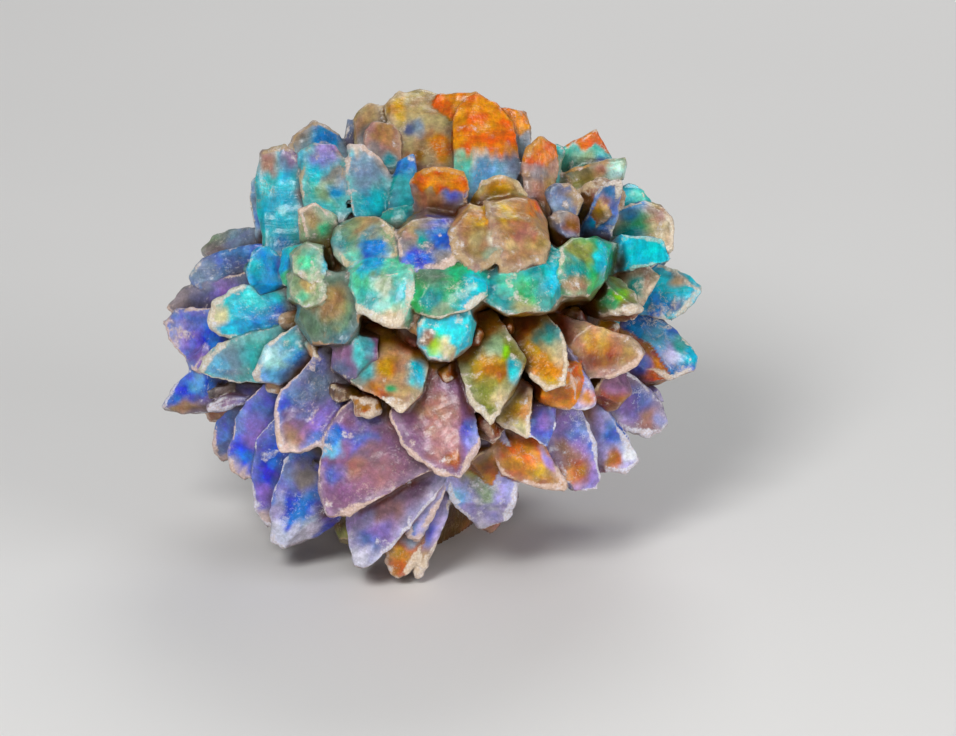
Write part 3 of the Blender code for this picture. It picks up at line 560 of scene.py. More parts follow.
LOWER_RIGHT = (
    Spear("olive_face", (13.6, -15.2, 46), (8.4, 3.4), 14, 11, Habit.SPEAR,
        Finish(OLIVE, (Glow(HONEY, -2, 9, 3), Glow(SAGE, -1, 13, 2.4),
        Glow(LIME, 1.6, 11, 1.4), Glow(AMBER, 0, 7, 1.8), Glow(CYAN, 3.6, 7.4, 1.5, 1.6),
        Glow(PALE_SAND, 0.6, 3, 2)), CREAM, 0.8, under=AMBER),
        Outline(((5.5, -6.6), (8.5, -13.8), (12.1, -17.9), (15.2, -14.1), (18, -8.3), (19.2, -5.8),
        (16.5, -1.6)), ((12.2, -17.7, 16, -1.1, 0.5),))),
    Spear("beige_blade", (18.2, -21.4, 38), (12, -3.6), 11, 9, Habit.BLADE,
        Finish(PALE_SAND, (Glow(HONEY, 0, 6, 3), Glow(TAN, -2, 10, 2.6)), CREAM, 0.7,
        under=RUST),
        Outline(((12.5, -17.1), (19, -21.1), (19.8, -16.6), (20, -10.6), (16.5, -8.6), (14, -13.1)),
        rooted=False)),
    Spear("violet_lens", (23, -22.4, 39), (20, -6.6), 6.6, 8, Habit.BLADE,
        Finish(INDIGO, (Glow(VIOLET, -0.6, 5, 2), Glow(ROYAL, 0.6, 2.6, 1.6)), FROST, 0.7),
        Outline(((18.2, -16), (18.8, -20), (23.2, -22.4), (24.6, -19.2), (25, -14), (23.2, -11.6),
        (19.4, -11.2)), rooted=False)),
    Spear("amber_blade", (25.2, -30.6, 27), (14, -12.6), 12.4, 9, Habit.SPEAR,
        Finish(AMBER, (Glow(HONEY, -4, 5, 2.6), Glow(ROSE, -1, 3, 2),
        Glow(ORANGE, -6, 8, 3), Glow(VIOLET, -2, 6, 1.2, 1.6)), PINK_CREAM, 0.7,
        under=RUST),
        Outline(((13.4, -25.2), (14, -27.6), (20, -29.6), (26, -31), (26.6, -29.8)),
        ((26, -31, 15, -23.6, 0.6),))),
    Spear("amber_violet", (30.6, -31, 22), (22, -10.6), 11.4, 10, Habit.BLADE,
        Finish(VIOLET, (Glow(AMBER, -2.4, 4.4, 3), Glow(INDIGO, -1, 12, 2.6),
        Glow(ORANGE, -4.6, 2, 2.6), Glow(ROYAL, 1.6, 8, 1.8), Glow(ROSE, -4, 8, 2)), FROST,
        0.9, under=AMBER),
        Outline(((26.6, -27.6), (28.6, -31.2), (33, -31.4), (33.6, -29.2), (32.4, -21.6), (30, -16)))),
    Spear("frosted_blue", (41, -25.6, 14), (26.4, -9.6), 11, 9, Habit.SPEAR,
        Finish(LAVENDER, (Glow(FROST, -2, 1.6, 2), Glow(BLUE, -5, 5.4, 2.6),
        Glow(ROYAL, -3, 8, 2.4), Glow(AMBER, -6, 0, 2)), FROST, 1, under=AMBER),
        Outline(((33.4, -27.6), (38.4, -27.8), (41.4, -25), (39.6, -21.2)),
        ((34, -17.2, 34.4, -27.6, 0.5),))),
    Spear("red_violet", (47.4, -17.4, 11), (29, -6), 11, 9, Habit.SPEAR,
        Finish(MAUVE, (Glow(INDIGO, -6, 4, 3), Glow(ROSE, -4, -0.6, 2.4),
        Glow(VIOLET, -9, 3, 3), Glow(LAVENDER, -1, 0, 2)), FROST, 0.9, under=RUST),
        Outline(((33.6, -14.6), (39, -19.2), (43, -20.2), (47.4, -18), (46, -14), (41, -9.6)))),
    Spear("pale_plate", (45.8, -18.8, 5), (30, -11), 7, 5, Habit.CHISEL,
        Finish(FROST, (Glow(ROSE, -4, 2, 3),), FROST, 0.7, under=RUST), lean=0.3),
    Spear("white_fin", (47.2, -14.4, 2), (32, -4.6), 5, 6, Habit.SPEAR,
        Finish(LAVENDER, (Glow(INDIGO, -5, 2, 3),), FROST, 0.7)),
)

MIDDLE_RIGHT = (
    Spear("tan_tongue", (42.2, -4, 29), (22, 0.8), 11.6, 10, Habit.BLADE,
        Finish(ROSE, (Glow(TAN, -3, 0.5, 4), Glow(RUST, -8, -1, 3), Glow(HONEY, -9, 3, 3)),
        PINK_CREAM, 0.7, under=RUST),
        Outline(((28, -7.2), (32, -8.8), (36.4, -8.8), (40.8, -6.4), (42, -4), (39.2, -1.2)))),
    Spear("blue_spear", (53.2, -6.2, 8), (35, 7), 13, 10, Habit.SPEAR,
        Finish(BLUE, (Glow(CYAN, -1.4, 1.6, 2.4), Glow(LAVENDER, -5, 2, 3),
        Glow(TEAL, -3.4, 4, 2), Glow(SKY, -8, 6, 3)), CREAM, 0.5, under=AMBER),
        Outline(((42, -8), (47.6, -9.2), (52, -7.6), (53, -5.2), (50, -0.6)),
        ((52.8, -6, 42, 0.4, 0.4),))),
    Spear("orange_under", (48.6, -8.8, 6), (33, -2), 9, 8, Habit.BLADE,
        Finish(AMBER, (Glow(ORANGE, -3, 0.6, 2.6), Glow(INDIGO, -7, 2, 3)), CREAM, 0.5,
        under=RUST)),
    Spear("green_wedge", (41, 4.8, 28), (27, 9), 9, 9, Habit.SPEAR,
        Finish(OLIVE, (Glow(GREEN, -5, 1.5, 2.8), Glow(LIME, -3.4, 2.4, 1.6),
        Glow(RUST, -2, -0.4, 2)), CREAM, 1, under=RUST)),
    Spear("yellow_wedge", (26.8, -8, 40), (17, 5), 11.4, 9, Habit.SPEAR,
        Finish(HONEY, (Glow(TEAL, -3, 7, 2.8), Glow(PALE_SAND, -1, 3.4, 2.4),
        Glow(ORANGE, 1, 3, 2)), CREAM, 0.8, under=RUST),
        Outline(((18.8, -8), (23, -11.2), (26, -10.4), (27, -6), (26, -0.6)))),
    Spear("amber_knob", (27.4, -11.6, 35), (17, -2.6), 9.4, 9, Habit.BLUNT,
        Finish(ORANGE, (Glow(AMBER, -2, 0, 2.6),), PINK_CREAM, 0.6, under=RUST)),
    Spear("lavender_wedge", (33.2, -14.4, 33), (23, -2), 9, 9, Habit.SPEAR,
        Finish(LAVENDER, (Glow(ORANGE, -2.4, 1.8, 2), Glow(INDIGO, 0, 5, 3)), FROST, 0.7,
        under=RUST),
        Outline(((26, -13), (29.4, -15), (33, -14.6), (31.8, -10.4)))),
    Spear("red_gap", (37, -12.4, 24), (26, -4), 9, 9, Habit.BLUNT,
        Finish(RUST, (Glow(MAUVE, 0, 2, 3),), SAND, 0.4, under=RUST)),
)

BELT = (
    Spear("cyan_block", (-8.6, 7.2, 50), (-6, 4.4), 11.4, 10.6, Habit.BLOCK,
        Finish(MINT, (Glow(SAGE, -0.4, 1.6, 2.4), Glow(CYAN, 4, 0.4, 2.4),
        Glow(AZURE, -2.6, 5.8, 2.4), Glow(PALE_SAND, 1.5, -5.4, 2.6),
        Glow(AQUA, -3.5, -1, 2.4)), CREAM, 0.7, under=AMBER),
        Outline(((-14.7, 8.2), (-13.3, 4.5), (-7.3, 1.4), (-3.7, 1.1), (-3, 5.7), (-3.2, 12.4),
        (-5.7, 14.5), (-11.5, 14.9), (-14.3, 12.8)), ((-3.5, 11.2, -14.2, 10.6, 1.3),))),
    Spear("blue_block", (-12.4, 16.8, 43), (-9, 11.4), 12.6, 10.4, Habit.BLOCK,
        Finish(SAGE, (Glow(SAND, 0.6, 5, 2.6), Glow(TEAL, -5, 1, 2.6),
        Glow(AZURE, 1.8, -0.6, 3), Glow(BLUE, 0, -4, 2.4), Glow(MINT, -3, -3, 1.8)),
        PALE_SAND, 0.7),
        Outline(((-18.3, 17.4), (-17.3, 12.8), (-12.3, 12.4), (-6.9, 12.4), (-5.7, 15.7), (-7.3, 19.1),
        (-10.7, 21.4), (-14, 21.7), (-17.3, 20.3)), ((-7.3, 17.8, -18.2, 16.7, 0.9),))),
    Spear("green_block", (5, 7.2, 51), (3, 5.4), 13.6, 12, Habit.BLOCK,
        Finish(GREEN, (Glow(MOSS, -4.6, 3.4, 3), Glow(SAGE, -1.4, -4, 2),
        Glow(TEAL, -4, -2, 2), Glow(CYAN, 4.8, 1.4, 3.2, 1.2), Glow(CYAN, 3.6, -3.6, 2.6),
        Glow(ICE, 3, 0.4, 1.3)), CREAM, 0.4, under=AMBER),
        Outline(((-3, 5.7), (-1.5, 3.6), (2.7, 2.4), (7.7, 4.1), (11.2, 7), (11, 11.2), (8.1, 13.1),
        (3.5, 13.2), (-1.9, 11.7), (-3, 9.1)), ((10.8, 10.1, -2.5, 9.1, 1),))),
    Spear("green_lobe", (3.8, -2.4, 49), (2, 1.4), 9.4, 7.4, Habit.BLOCK,
        Finish(CYAN, (Glow(LIME, -2, -0.6, 1.7), Glow(PALE_SAND, 0.4, -1.6, 1.8),
        Glow(RUST, -4, 0.6, 1.8)), CREAM, 0.6, under=AMBER),
        Outline(((-1.6, -2.6), (0.4, -5.2), (4.4, -5.2), (7.6, -2.6), (8.4, 1.4), (7.2, 4.4), (2, 4.4),
        (-1.2, 1.4)))),
    Spear("teal_slab", (19.4, 8.8, 45), (12, 6.4), 14.6, 10, Habit.BLOCK,
        Finish(TEAL, (Glow(MINT, -3, 1.4, 3), Glow(CYAN, 5.4, 1.4, 2.4),
        Glow(GREEN, 0, -1, 2.4), Glow(OLIVE, -1, -4.2, 2.6)), CREAM, 0.5, under=AMBER),
        Outline(((11, 5.7), (15.2, 3.2), (23.5, 4.1), (25.8, 6.6), (26, 14.1), (24.3, 15.7), (14.3, 12.4),
        (11.2, 10.7)), ((25.6, 12.8, 11.4, 8.7, 1),))),
    Spear("upper_knob", (-23, 12.8, 42), (-16, 8.4), 8.4, 6.8, Habit.BLOCK,
        Finish(SAGE, (Glow(MINT, -1, 0.6, 2.2), Glow(CYAN, 3.4, 0.6, 1.4)), CREAM, 0.6,
        under=OLIVE),
        Outline(((-26.9, 15.7), (-26.5, 11.6), (-23.2, 9.9), (-20.7, 10.7), (-20.2, 13.2), (-21.1, 16.1),
        (-24, 17)))),
    Spear("lower_knob", (-23.8, 7.4, 42), (-16, 5.4), 8, 6.4, Habit.BLOCK,
        Finish(SAGE, (Glow(SAND, 0, 2.6, 2), Glow(MINT, -1, -1.4, 1.8)), CREAM, 0.7,
        under=OLIVE),
        Outline(((-27.3, 10.7), (-26.9, 6.6), (-24, 4.9), (-20.7, 5.7), (-20.2, 9.1), (-22.3, 11.6)))),
    Spear("dark_round", (-18, 1.4, 44), (-12, 2.4), 12.6, 10, Habit.BLOCK,
        Finish(MOSS, (Glow(SAGE, 1, 2, 2), Glow(DEEP_TEAL, 1, -3, 3.4),
        Glow(TAN, -1, 4, 3)), TAN, 0.4),
        Outline(((-25.2, 2.4), (-22.3, -1.9), (-14.8, -1.9), (-13.6, 1.6), (-13.6, 5.7), (-16.1, 11.6),
        (-21.1, 11.6), (-24.4, 6.2)))),
    Spear("sandy_blue", (0.4, 19.4, 45), (0.4, 12.4), 12.6, 14, Habit.BLOCK,
        Finish(SMOKE, (Glow(ROYAL, -2.4, -5.6, 3), Glow(INDIGO, 2, 2.4, 2),
        Glow(BLUE, 3, -1.6, 2.6), Glow(SAND, -4, 1.6, 2.4), Glow(TEAL, -1, -1, 1.6)),
        PINK_CREAM, 0.7),
        Outline(((-5.7, 19.1), (-4.8, 13.2), (-1.5, 11.6), (4.3, 12.4), (6, 14.9), (6.2, 19.1), (4.3, 22),
        (0.2, 22.4), (-4, 21.1)), ((6, 18.9, -5.2, 18.1, 0.7),))),
    Spear("tan_point", (11, 18.4, 45), (8, 12.4), 9.6, 12.4, Habit.BLOCK,
        Finish(TAN, (Glow(HONEY, -1, 4, 2), Glow(CREAM, 2, -0.6, 1.8),
        Glow(SAGE, 1.6, -4, 2), Glow(SAND, -2, -1, 1.6)), SAND, 0.9, under=RUST),
        Outline(((4.8, 19.9), (5.6, 14.9), (9.3, 12), (12.7, 13.2), (14.8, 16.6), (14.3, 19.9),
        (11.8, 23.6), (8.5, 24.2), (6.4, 23.2)), ((14.3, 21.1, 5.3, 20.1, 0.8),))),
    Spear("tan_block", (18.6, 19.6, 42), (12, 12.4), 11, 14, Habit.BLOCK,
        Finish(TAN, (Glow(ORANGE, 2.4, 4.6, 2, 1), Glow(ROSE, 0.6, -0.6, 1.8),
        Glow(SAND, -2, -3.6, 2.4), Glow(HONEY, -3.6, 3.6, 1.8)), SAND, 0.8, under=RUST),
        Outline(((11.8, 24.5), (13.9, 11.7), (17.7, 12.4), (22.2, 13.7), (23.5, 16.6), (23.1, 21.6),
        (21, 24.5), (16.8, 25.3)), ((22.8, 20.9, 12.7, 22, 0.8),))),
    Spear("orange_cap", (1.8, 31.4, 32), (2, 16.4), 10, 10, Habit.BLUNT,
        Finish(SMOKE, (Glow(INDIGO, 2.6, -5.4, 2.2), Glow(TAN, -2, -5.2, 2.4),
        Glow(HONEY, -3, -1, 1.6)), HONEY, 0.6, ORANGE, 3.4, RUST),
        Outline(((-3.3, 28.6), (7.2, 24.9), (7.8, 28.2), (6.7, 31.1), (3.5, 31.8), (0.6, 31.6),
        (-2.2, 30.9)))),
    Spear("olive_gap", (12.4, 28.6, 31), (10, 16.4), 10, 9, Habit.BLUNT,
        Finish(OLIVE, (Glow(HONEY, 1, -1, 3), Glow(TAN, -2, -5, 3)), PALE_SAND, 0.7,
        under=RUST),
        Outline(((18.6, 26.4), (16.5, 29.1), (13.5, 30.2), (10.1, 29.5), (9.1, 26.6)))),
    Spear("green_end", (30.4, 12.6, 38), (23, 9.4), 10.4, 13.6, Habit.BLOCK,
        Finish(GREEN, (Glow(CYAN, 3.6, 1, 1.8, 2), Glow(OLIVE, -1, 3, 3),
        Glow(TEAL, -2, -1, 2.4), Glow(TAN, -1.6, -4.4, 2.2)), CREAM, 0.6, under=RUST),
        Outline(((25.6, 10.7), (27.2, 6.6), (31.8, 7.4), (34.8, 10.7), (35.6, 16.6), (32.7, 17.8),
        (29.3, 17.4), (26.4, 15.7)), ((35.2, 14.5, 26, 13.2, 0.8),))),
    Spear("tan_nub", (-1.6, 1, 48), (-1, 2.4), 4, 4.4, Habit.BLOCK,
        Finish(TAN, (), SAND, 0.5, under=RUST)),
    Spear("teal_hollow_right", (-5.6, 22, 29), (-4, 11), 8, 8, Habit.BLUNT,
        Finish(TEAL, (Glow(MOSS, 0, -3, 3),), SAND, 0.3, under=DEEP_TEAL)),
    Spear("violet_strip", (-15, -6, 42), (-9, 2), 9, 10, Habit.BLUNT,
        Finish(MAUVE, (Glow(AQUA, 2.4, 2, 1.6, 3), Glow(SLATE, -2, -2, 2.6)), PALE_SAND,
        0.5)),
)

RIGHT_FRINGE = (
    Spear("cyan_nub", (43.4, 27.4, -2), (29, 21.4), 7, 8, Habit.BLUNT,
        Finish(CYAN, (Glow(MINT, -2, 0, 2),), CREAM, 0.3)),
    Spear("round_top", (48, 21.6, 8), (32, 17), 12, 10, Habit.BLADE,
        Finish(PALE_SAND, (Glow(BLUE, -8.4, 3, 3), Glow(GREEN, -7.4, -0.6, 2.6),
        Glow(ROSE, -3, 1.4, 2.4), Glow(AZURE, -10, 4, 3), Glow(TEAL, -9, -3, 2.6)), CREAM,
        0.9),
        Outline(((48.1, 16.6), (48.3, 21.6), (46.4, 24.9), (42.7, 26.1), (37.7, 24.1)))),
    Spear("round_under", (47.8, 16.2, 3), (34, 14), 7, 8, Habit.BLADE,
        Finish(AZURE, (Glow(CYAN, -4, 1.4, 2.4), Glow(BLUE, -2, -0.5, 1.6)), CREAM, 0.8)),
    Spear("cyan_shelf", (42, 13.6, 21), (30, 14), 7, 8, Habit.BLADE,
        Finish(CYAN, (Glow(DEEP_TEAL, -6, 0, 2),), ICE, 0.5),
        Outline(((41.8, 12.4), (47.2, 14.1), (45.6, 17.4), (38.5, 19.5)))),
    Spear("sandy_ridge", (45.4, 11, 16), (32, 9.4), 6.5, 8, Habit.BLUNT,
        Finish(PALE_SAND, (Glow(ROSE, -2, 0.4, 2), Glow(TEAL, -5, -2, 2)), CREAM, 1),
        Outline(((37.7, 4.7), (42.7, 5.7), (45.6, 10.7), (41.8, 13.7)))),
    Spear("long_blade", (53.6, 7.4, 6), (35, 7.4), 11, 9, Habit.BLADE,
        Finish(CYAN, (Glow(AZURE, -8, -2, 3), Glow(BLUE, -9, -4, 2),
        Glow(SLATE, -4, -2.6, 2), Glow(SAND, -4, 3.4, 2)), CREAM, 1, under=SMOKE),
        Outline(((48.5, 2.6), (51.8, 5.2), (53.8, 9.1), (51.8, 11.6), (46.8, 13)))),
)

FACE = (CROWN + UPPER_LEFT + LEFT_FRINGE + LOWER_LEFT + LOWER_FRONT + LOWER_RIGHT + MIDDLE_RIGHT + BELT
        + RIGHT_FRINGE)


def smooth(low: float, high: float, value: np.ndarray) -> np.ndarray:
    """Rises softly from 0 at low to 1 at high.

    Args:
        low: Where the rise starts.
        high: Where it ends.
        value: The values to grade.

    Returns:
        The grades, from 0 to 1.
    """
    share = np.clip((value - low) / (high - low), 0.0, 1.0)
    return share * share * (3.0 - 2.0 * share)


def blend(base: np.ndarray, hue: Hue, mask: np.ndarray) -> np.ndarray:
    """Lays a colour over others where the mask says."""
    return base + (hue.linear - base) * mask[:, None]


class Grain:
    """Smooth seeded unevenness in space, from -1 to 1, worked out for many points at once."""

    def __init__(self, seed: int) -> None:
        """Draws the table of random values.

        Args:
            seed: Where they come from.
        """
        rng = np.random.default_rng(seed)
        self.order = np.tile(rng.permutation(256), 3)
        self.values = rng.uniform(-1.0, 1.0, 256).astype(np.float32)

    def at(self, points: np.ndarray, size: float, shift: float = 0.0) -> np.ndarray:
        """The unevenness at points.

        Args:
            points: Places, one in each row.
            size: Distance from one bump to the next.
            shift: Moves the pattern, for another one of the same size.

        Returns:
            One value for each point.
        """
        scaled = points / size + shift
        cell = np.floor(scaled).astype(np.int64)
        part = (scaled - cell).astype(np.float32)
        part = part * part * (3.0 - 2.0 * part)
        total = np.zeros(len(points), np.float32)
        for corner in range(8):
            step = (corner & 1, corner >> 1 & 1, corner >> 2)
            here = [(cell[:, axis] + step[axis]) & 255 for axis in range(3)]
            share = [part[:, axis] if step[axis] else 1.0 - part[:, axis] for axis in range(3)]
            index = self.order[self.order[self.order[here[0]] + here[1]] + here[2]]
            total += share[0] * share[1] * share[2] * self.values[index]
        return total

    def layered(self, points: np.ndarray, size: float, layers: int = 3) -> np.ndarray:
        """Unevenness with finer unevenness on it, each layer half as large as the one before.

        Args:
            points: Places, one in each row.
            size: Distance from one bump of the first layer to the next.
            layers: How many layers there are.

        Returns:
            One value for each point.
        """
        total = np.zeros(len(points), np.float32)
        for layer in range(layers):
            total += self.at(points, size / 2 ** layer, 17.3 * layer) / 2 ** layer
        return total


def growth_centre() -> Vector:
    """The point that the spears radiate from."""
    return Vector((0.0, 0.0, GROWTH_CENTRE_HEIGHT))


def face_point(across: float, up: float, towards: float) -> Vector:
    """Turns a place on the visible face into a point of the specimen."""
    rise, run = math.sin(FACE_ELEVATION), math.cos(FACE_ELEVATION)
    return growth_centre() + Vector((across, up * rise - towards * run, up * run + towards * rise))


def view_direction() -> Vector:
    """The direction from the cluster to the viewer of its face."""
    return Vector((0.0, -math.cos(FACE_ELEVATION), math.sin(FACE_ELEVATION)))


def view_up() -> Vector:
    """The direction that is up for the viewer of the face."""
    return Vector((0.0, math.sin(FACE_ELEVATION), math.cos(FACE_ELEVATION)))


def axes_of(tip: Vector, root: Vector, facing: Vector, turn: float) -> Matrix:
    """Finds the spear's frame: x across its width, y into its depth, z along it to the tip.

    Args:
        tip: Where the spear ends.
        root: Where it starts.
        facing: The direction that its broad side looks to.
        turn: How far it is rolled from there, in degrees.

    Returns:
        The frame's rotation.
    """
    along = (tip - root).normalized()
    inward = (along * facing.dot(along) - facing).normalized()
    inward = Matrix.Rotation(math.radians(turn), 3, along) @ inward
    across = inward.cross(along)
    return Matrix((across, inward, along)).transposed().to_4x4()


def scattered(amount: float, chance: random.Random) -> Vector:
    """A small random offset."""
    return Vector([chance.uniform(-amount, amount) for _ in range(3)])


class Block:
    """A block that a crystal is carved from, which remembers the planes that it was cut by."""

    def __init__(self, size: float) -> None:
        """Makes the uncut block.

        Args:
            size: Its side.
        """
        self.mesh = bmesh.new()
        self.planes: list[tuple[Vector, float]] = []
        bmesh.ops.create_cube(self.mesh, size=size)

    def slice_off(self, point: Vector, normal: Vector, is_face: bool = True) -> None:
        """Cuts away what lies beyond a plane and closes the cut with one flat face.

        Args:
            point: A point of the plane.
            normal: Its direction outward.
            is_face: Whether the cut is one of the crystal's own faces, and not its broken root.
        """
        everything = self.mesh.verts[:] + self.mesh.edges[:] + self.mesh.faces[:]
        cut = bmesh.ops.bisect_plane(self.mesh, geom=everything, plane_co=point, plane_no=normal,
                                     clear_outer=True)
        rim = [edge for edge in cut["geom_cut"] if isinstance(edge, bmesh.types.BMEdge)]
        if rim:
            bmesh.ops.contextual_create(self.mesh, geom=rim)
        if is_face:
            outward = Vector(normal).normalized()
            self.planes.append((outward, outward.dot(Vector(point))))

    def slice_uneven(self, point: Vector, normal: Vector, chance: random.Random,
                     amount: float = UNEVENNESS) -> None:
        """Cuts one grown face, tilted a little, because grown faces are never quite true."""
        self.slice_off(point, Vector(normal).normalized() + scattered(amount, chance))

    def chip_corner(self, size: float, chance: random.Random) -> None:
        """Breaks a little off the corner that stands out most in a random outward direction.

        Args:
            size: The size of the crystal.
            chance: Where the direction and the depth come from.
        """
        way = Vector((chance.choice((-1, 1)) * chance.uniform(0.5, 1.0),
                      chance.choice((-1, 1)) * chance.uniform(0.3, 1.0),
                      chance.uniform(0.2, 0.9))).normalized()
        reach = max(vert.co.dot(way) for vert in self.mesh.verts)
        depth = chance.uniform(*CHIP_DEPTHS) * size
        self.slice_off(way * (reach - depth), way)

    def settle(self) -> None:
        """Moves the crystal so that its far end is at height 0."""
        bmesh.ops.recalc_face_normals(self.mesh, faces=self.mesh.faces)
        highest = max(vert.co.z for vert in self.mesh.verts)
        self.mesh.transform(Matrix.Translation((0, 0, -highest)))
        self.planes = [(normal, offset - normal.z * highest) for normal, offset in self.planes]


def carve_spear(width: float, thick: float, length: float, form: Form, lean: float,
                chance: random.Random) -> Block:
    """Carves one crystal, its far end at height 0 and its body down the -Z axis.

    Args:
        width: Its broad side.
        thick: Its narrow side.
        length: From its root to its tip.
        form: How it ends and narrows.
        lean: How far its apex stands aside, in half widths.
        chance: Where its unevenness comes from.

    Returns:
        The carved block.
    """
    half_w, half_d = width / 2, thick / 2
    apex = form.blunt * form.point * width
    shoulder = apex - form.point * width
    body = max(length + shoulder, length / 3)
    narrowing_w = half_w * (1 - form.root) / body
    narrowing_d = half_d * (1 - form.root) / body
    aside = lean * half_w
    ridge = chance.uniform(-RIDGE_WANDER, RIDGE_WANDER) * half_w
    block = Block(2 * (length + width))
    block.slice_off((0, 0, -length), (0, 0, -1), is_face=False)
    for side in (-1, 1):
        corner = (side * half_w, 0, shoulder)
        block.slice_uneven(corner, (side, 0, -narrowing_w), chance)
        block.slice_uneven(corner, (side * (apex - shoulder), 0, half_w - side * aside), chance)
        wedge = (0, side * form.wedge * thick, (1 - TIP_THICKNESS) * half_d)
        block.slice_uneven((0, side * TIP_THICKNESS * half_d, apex), wedge, chance)
        for flank in (-1, 1):
            fall = form.roof * half_d / (half_w - flank * ridge)
            block.slice_uneven((ridge, side * half_d, shoulder), (flank * fall, side, -narrowing_d), chance)
    tilt = [chance.uniform(-END_TILT, END_TILT) for _ in range(2)]
    block.slice_off((0, 0, 0), (*tilt, 1))
    for _ in range(form.chips):
        block.chip_corner(min(width, thick), chance)
    block.settle()
    return block


def core_depth(across: float, up: float) -> float | None:
    """Finds how far the core reaches towards the viewer at a place of the face view.

    Args:
        across: The place, to the viewer's right.
        up: The place, upward.

    Returns:
        The reach, or None where the core isn't behind that place.
    """
    squares = [0.0, 0.0, 0.0]
    flat, deep = face_point(across, up, 0.0) - growth_centre(), view_direction()
    for part, way, axis in zip(flat, deep, CORE_RADII):
        squares[0] += (way / axis) ** 2
        squares[1] += part * way / axis ** 2
        squares[2] += (part / axis) ** 2
    inner = squares[1] ** 2 - squares[0] * (squares[2] - 1.0)
    return (math.sqrt(inner) - squares[1]) / squares[0] if inner > 0.0 else None


class Plate(Block):
    """A crystal whose front is a flat face with the outline that its spear has."""

    def __init__(self, spear: Spear, place: Matrix, length: float, chance: random.Random) -> None:
        """Carves the crystal, at the origin.

        Args:
            spear: Its place, size, habit and outline.
            place: Where its far end goes, and how it is turned.
            length: From its root to its tip.
            chance: Where its unevenness comes from.
        """
        super().__init__(PLATE_STOCK * (length + spear.width))
        self.spear, self.back, self.chance = spear, place.inverted(), chance
        self.is_block = spear.habit is Habit.BLOCK
        self.thick = BLOCK_DEPTH * length if self.is_block else spear.thick
        outline = replace(spear.outline, rooted=spear.outline.rooted and not self.is_block)
        self.corners = outline.closed(spear.tip[:2], spear.root, spear.width)
        self.slope = self.front_slope()
        self.cut(*spear.tip[:2], (-self.slope.x, -self.slope.y, 1.0))
        self.cut(*spear.tip[:2], (self.slope.x, self.slope.y, -1.0), deeper=self.thick)
        self.cut_sides()
        self.cut_creases()
        for _ in range(spear.habit.value.chips):
            self.chip_corner(PLATE_CHIP * min(spear.width, spear.thick), chance)
        bmesh.ops.recalc_face_normals(self.mesh, faces=self.mesh.faces)

    def front_slope(self) -> Vector:
        """Works out how steeply the front comes towards the viewer, so that its root meets the core.

        Returns:
            The slope, across and up.
        """
        (across, up, towards), root = self.spear.tip, self.spear.root
        if self.is_block:
            return Vector((-across / towards, -up / towards))
        tip = Vector((across, up))
        run = Vector((across - root[0], up - root[1]))
        length = run.length
        run.normalize()
        far = max(self.corners, key=lambda corner: (tip - Vector(corner)).dot(run))
        reach = (tip - Vector(far)).dot(run)
        behind = core_depth(*(tip - run * reach))
        if behind is None:
            slope = (1.0 - ROOT_DEPTH_SHARE) * towards / length
        else:
            slope = (towards - behind - CORE_COVER) / reach
        roll = math.tan(math.radians(self.spear.turn / 2))
        steepest = FORWARD_SLOPE * float(smooth(*SLOPE_REACHES, np.array(reach)))
        return run * max(BACKWARD_SLOPE, min(slope, steepest)) + Vector((-run.y, run.x)) * roll

    def cut(self, across: float, up: float, normal: tuple[float, ...], deeper: float = 0.0,
            uneven: bool = False) -> None:
        """Cuts a plane that is given in the face view, through a place of the front.

        Args:
            across: The place, to the viewer's right.
            up: The place, upward.
            normal: The plane's direction outward: right, up and towards the viewer.
            deeper: How far behind the front it goes.
            uneven: Whether it is tilted a little.
        """
        ways = (Vector((1.0, 0.0, 0.0)), view_up(), view_direction())
        ahead = self.slope.dot(Vector((across, up)) - Vector(self.spear.tip[:2]))
        outward = sum((way * part for way, part in zip(ways, normal)), Vector())
        point = self.back @ face_point(across, up, self.spear.tip[2] + ahead - deeper)
        outward = self.back.to_3x3() @ outward
        if uneven:
            self.slice_uneven(point, outward, self.chance, SIDE_UNEVENNESS)
        else:
            self.slice_off(point, outward)

    def cut_sides(self) -> None:
        """Cuts a side through each two corners of the outline."""
        narrowing = BLOCK_NARROWING if self.is_block else SIDE_NARROWING
        for corner, after in zip(self.corners, self.corners[1:] + self.corners[:1]):
            side = Vector((after[1] - corner[1], corner[0] - after[0])).normalized()
            middle = (Vector(corner) + Vector(after)) / 2
            self.cut(*(middle + side * SIDE_SPARE), (*side, -narrowing), uneven=True)

    def cut_creases(self) -> None:
        """Cuts the falling parts of the front, those of the outline and a few random ones."""
        creases = list(self.spear.outline.creases)
        middle = sum((Vector(corner) for corner in self.corners), Vector((0.0, 0.0))) / len(self.corners)
        for _ in range((3 if self.is_block else 1) - len(creases)):
            angle = self.chance.uniform(0.0, 2 * math.pi)
            way = Vector((math.cos(angle), math.sin(angle)))
            reach = max((Vector(corner) - middle).dot(way) for corner in self.corners)
            start = middle + way * reach * self.chance.uniform(*CREASE_PLACES)
            creases.append((*start, *(start + Vector((-way.y, way.x))), self.chance.uniform(*CREASE_FALLS)))
        for start_x, start_y, end_x, end_y, fall in creases:
            side = Vector((end_y - start_y, start_x - end_x)).normalized()
            start = Vector((start_x, start_y))
            beyond = max((Vector(corner) - start).dot(side) for corner in self.corners)
            fall = min(fall, CREASE_SHARE * self.thick / max(beyond, 1.0))
            self.cut(start_x, start_y, (fall * side.x - self.slope.x, fall * side.y - self.slope.y, 1.0))


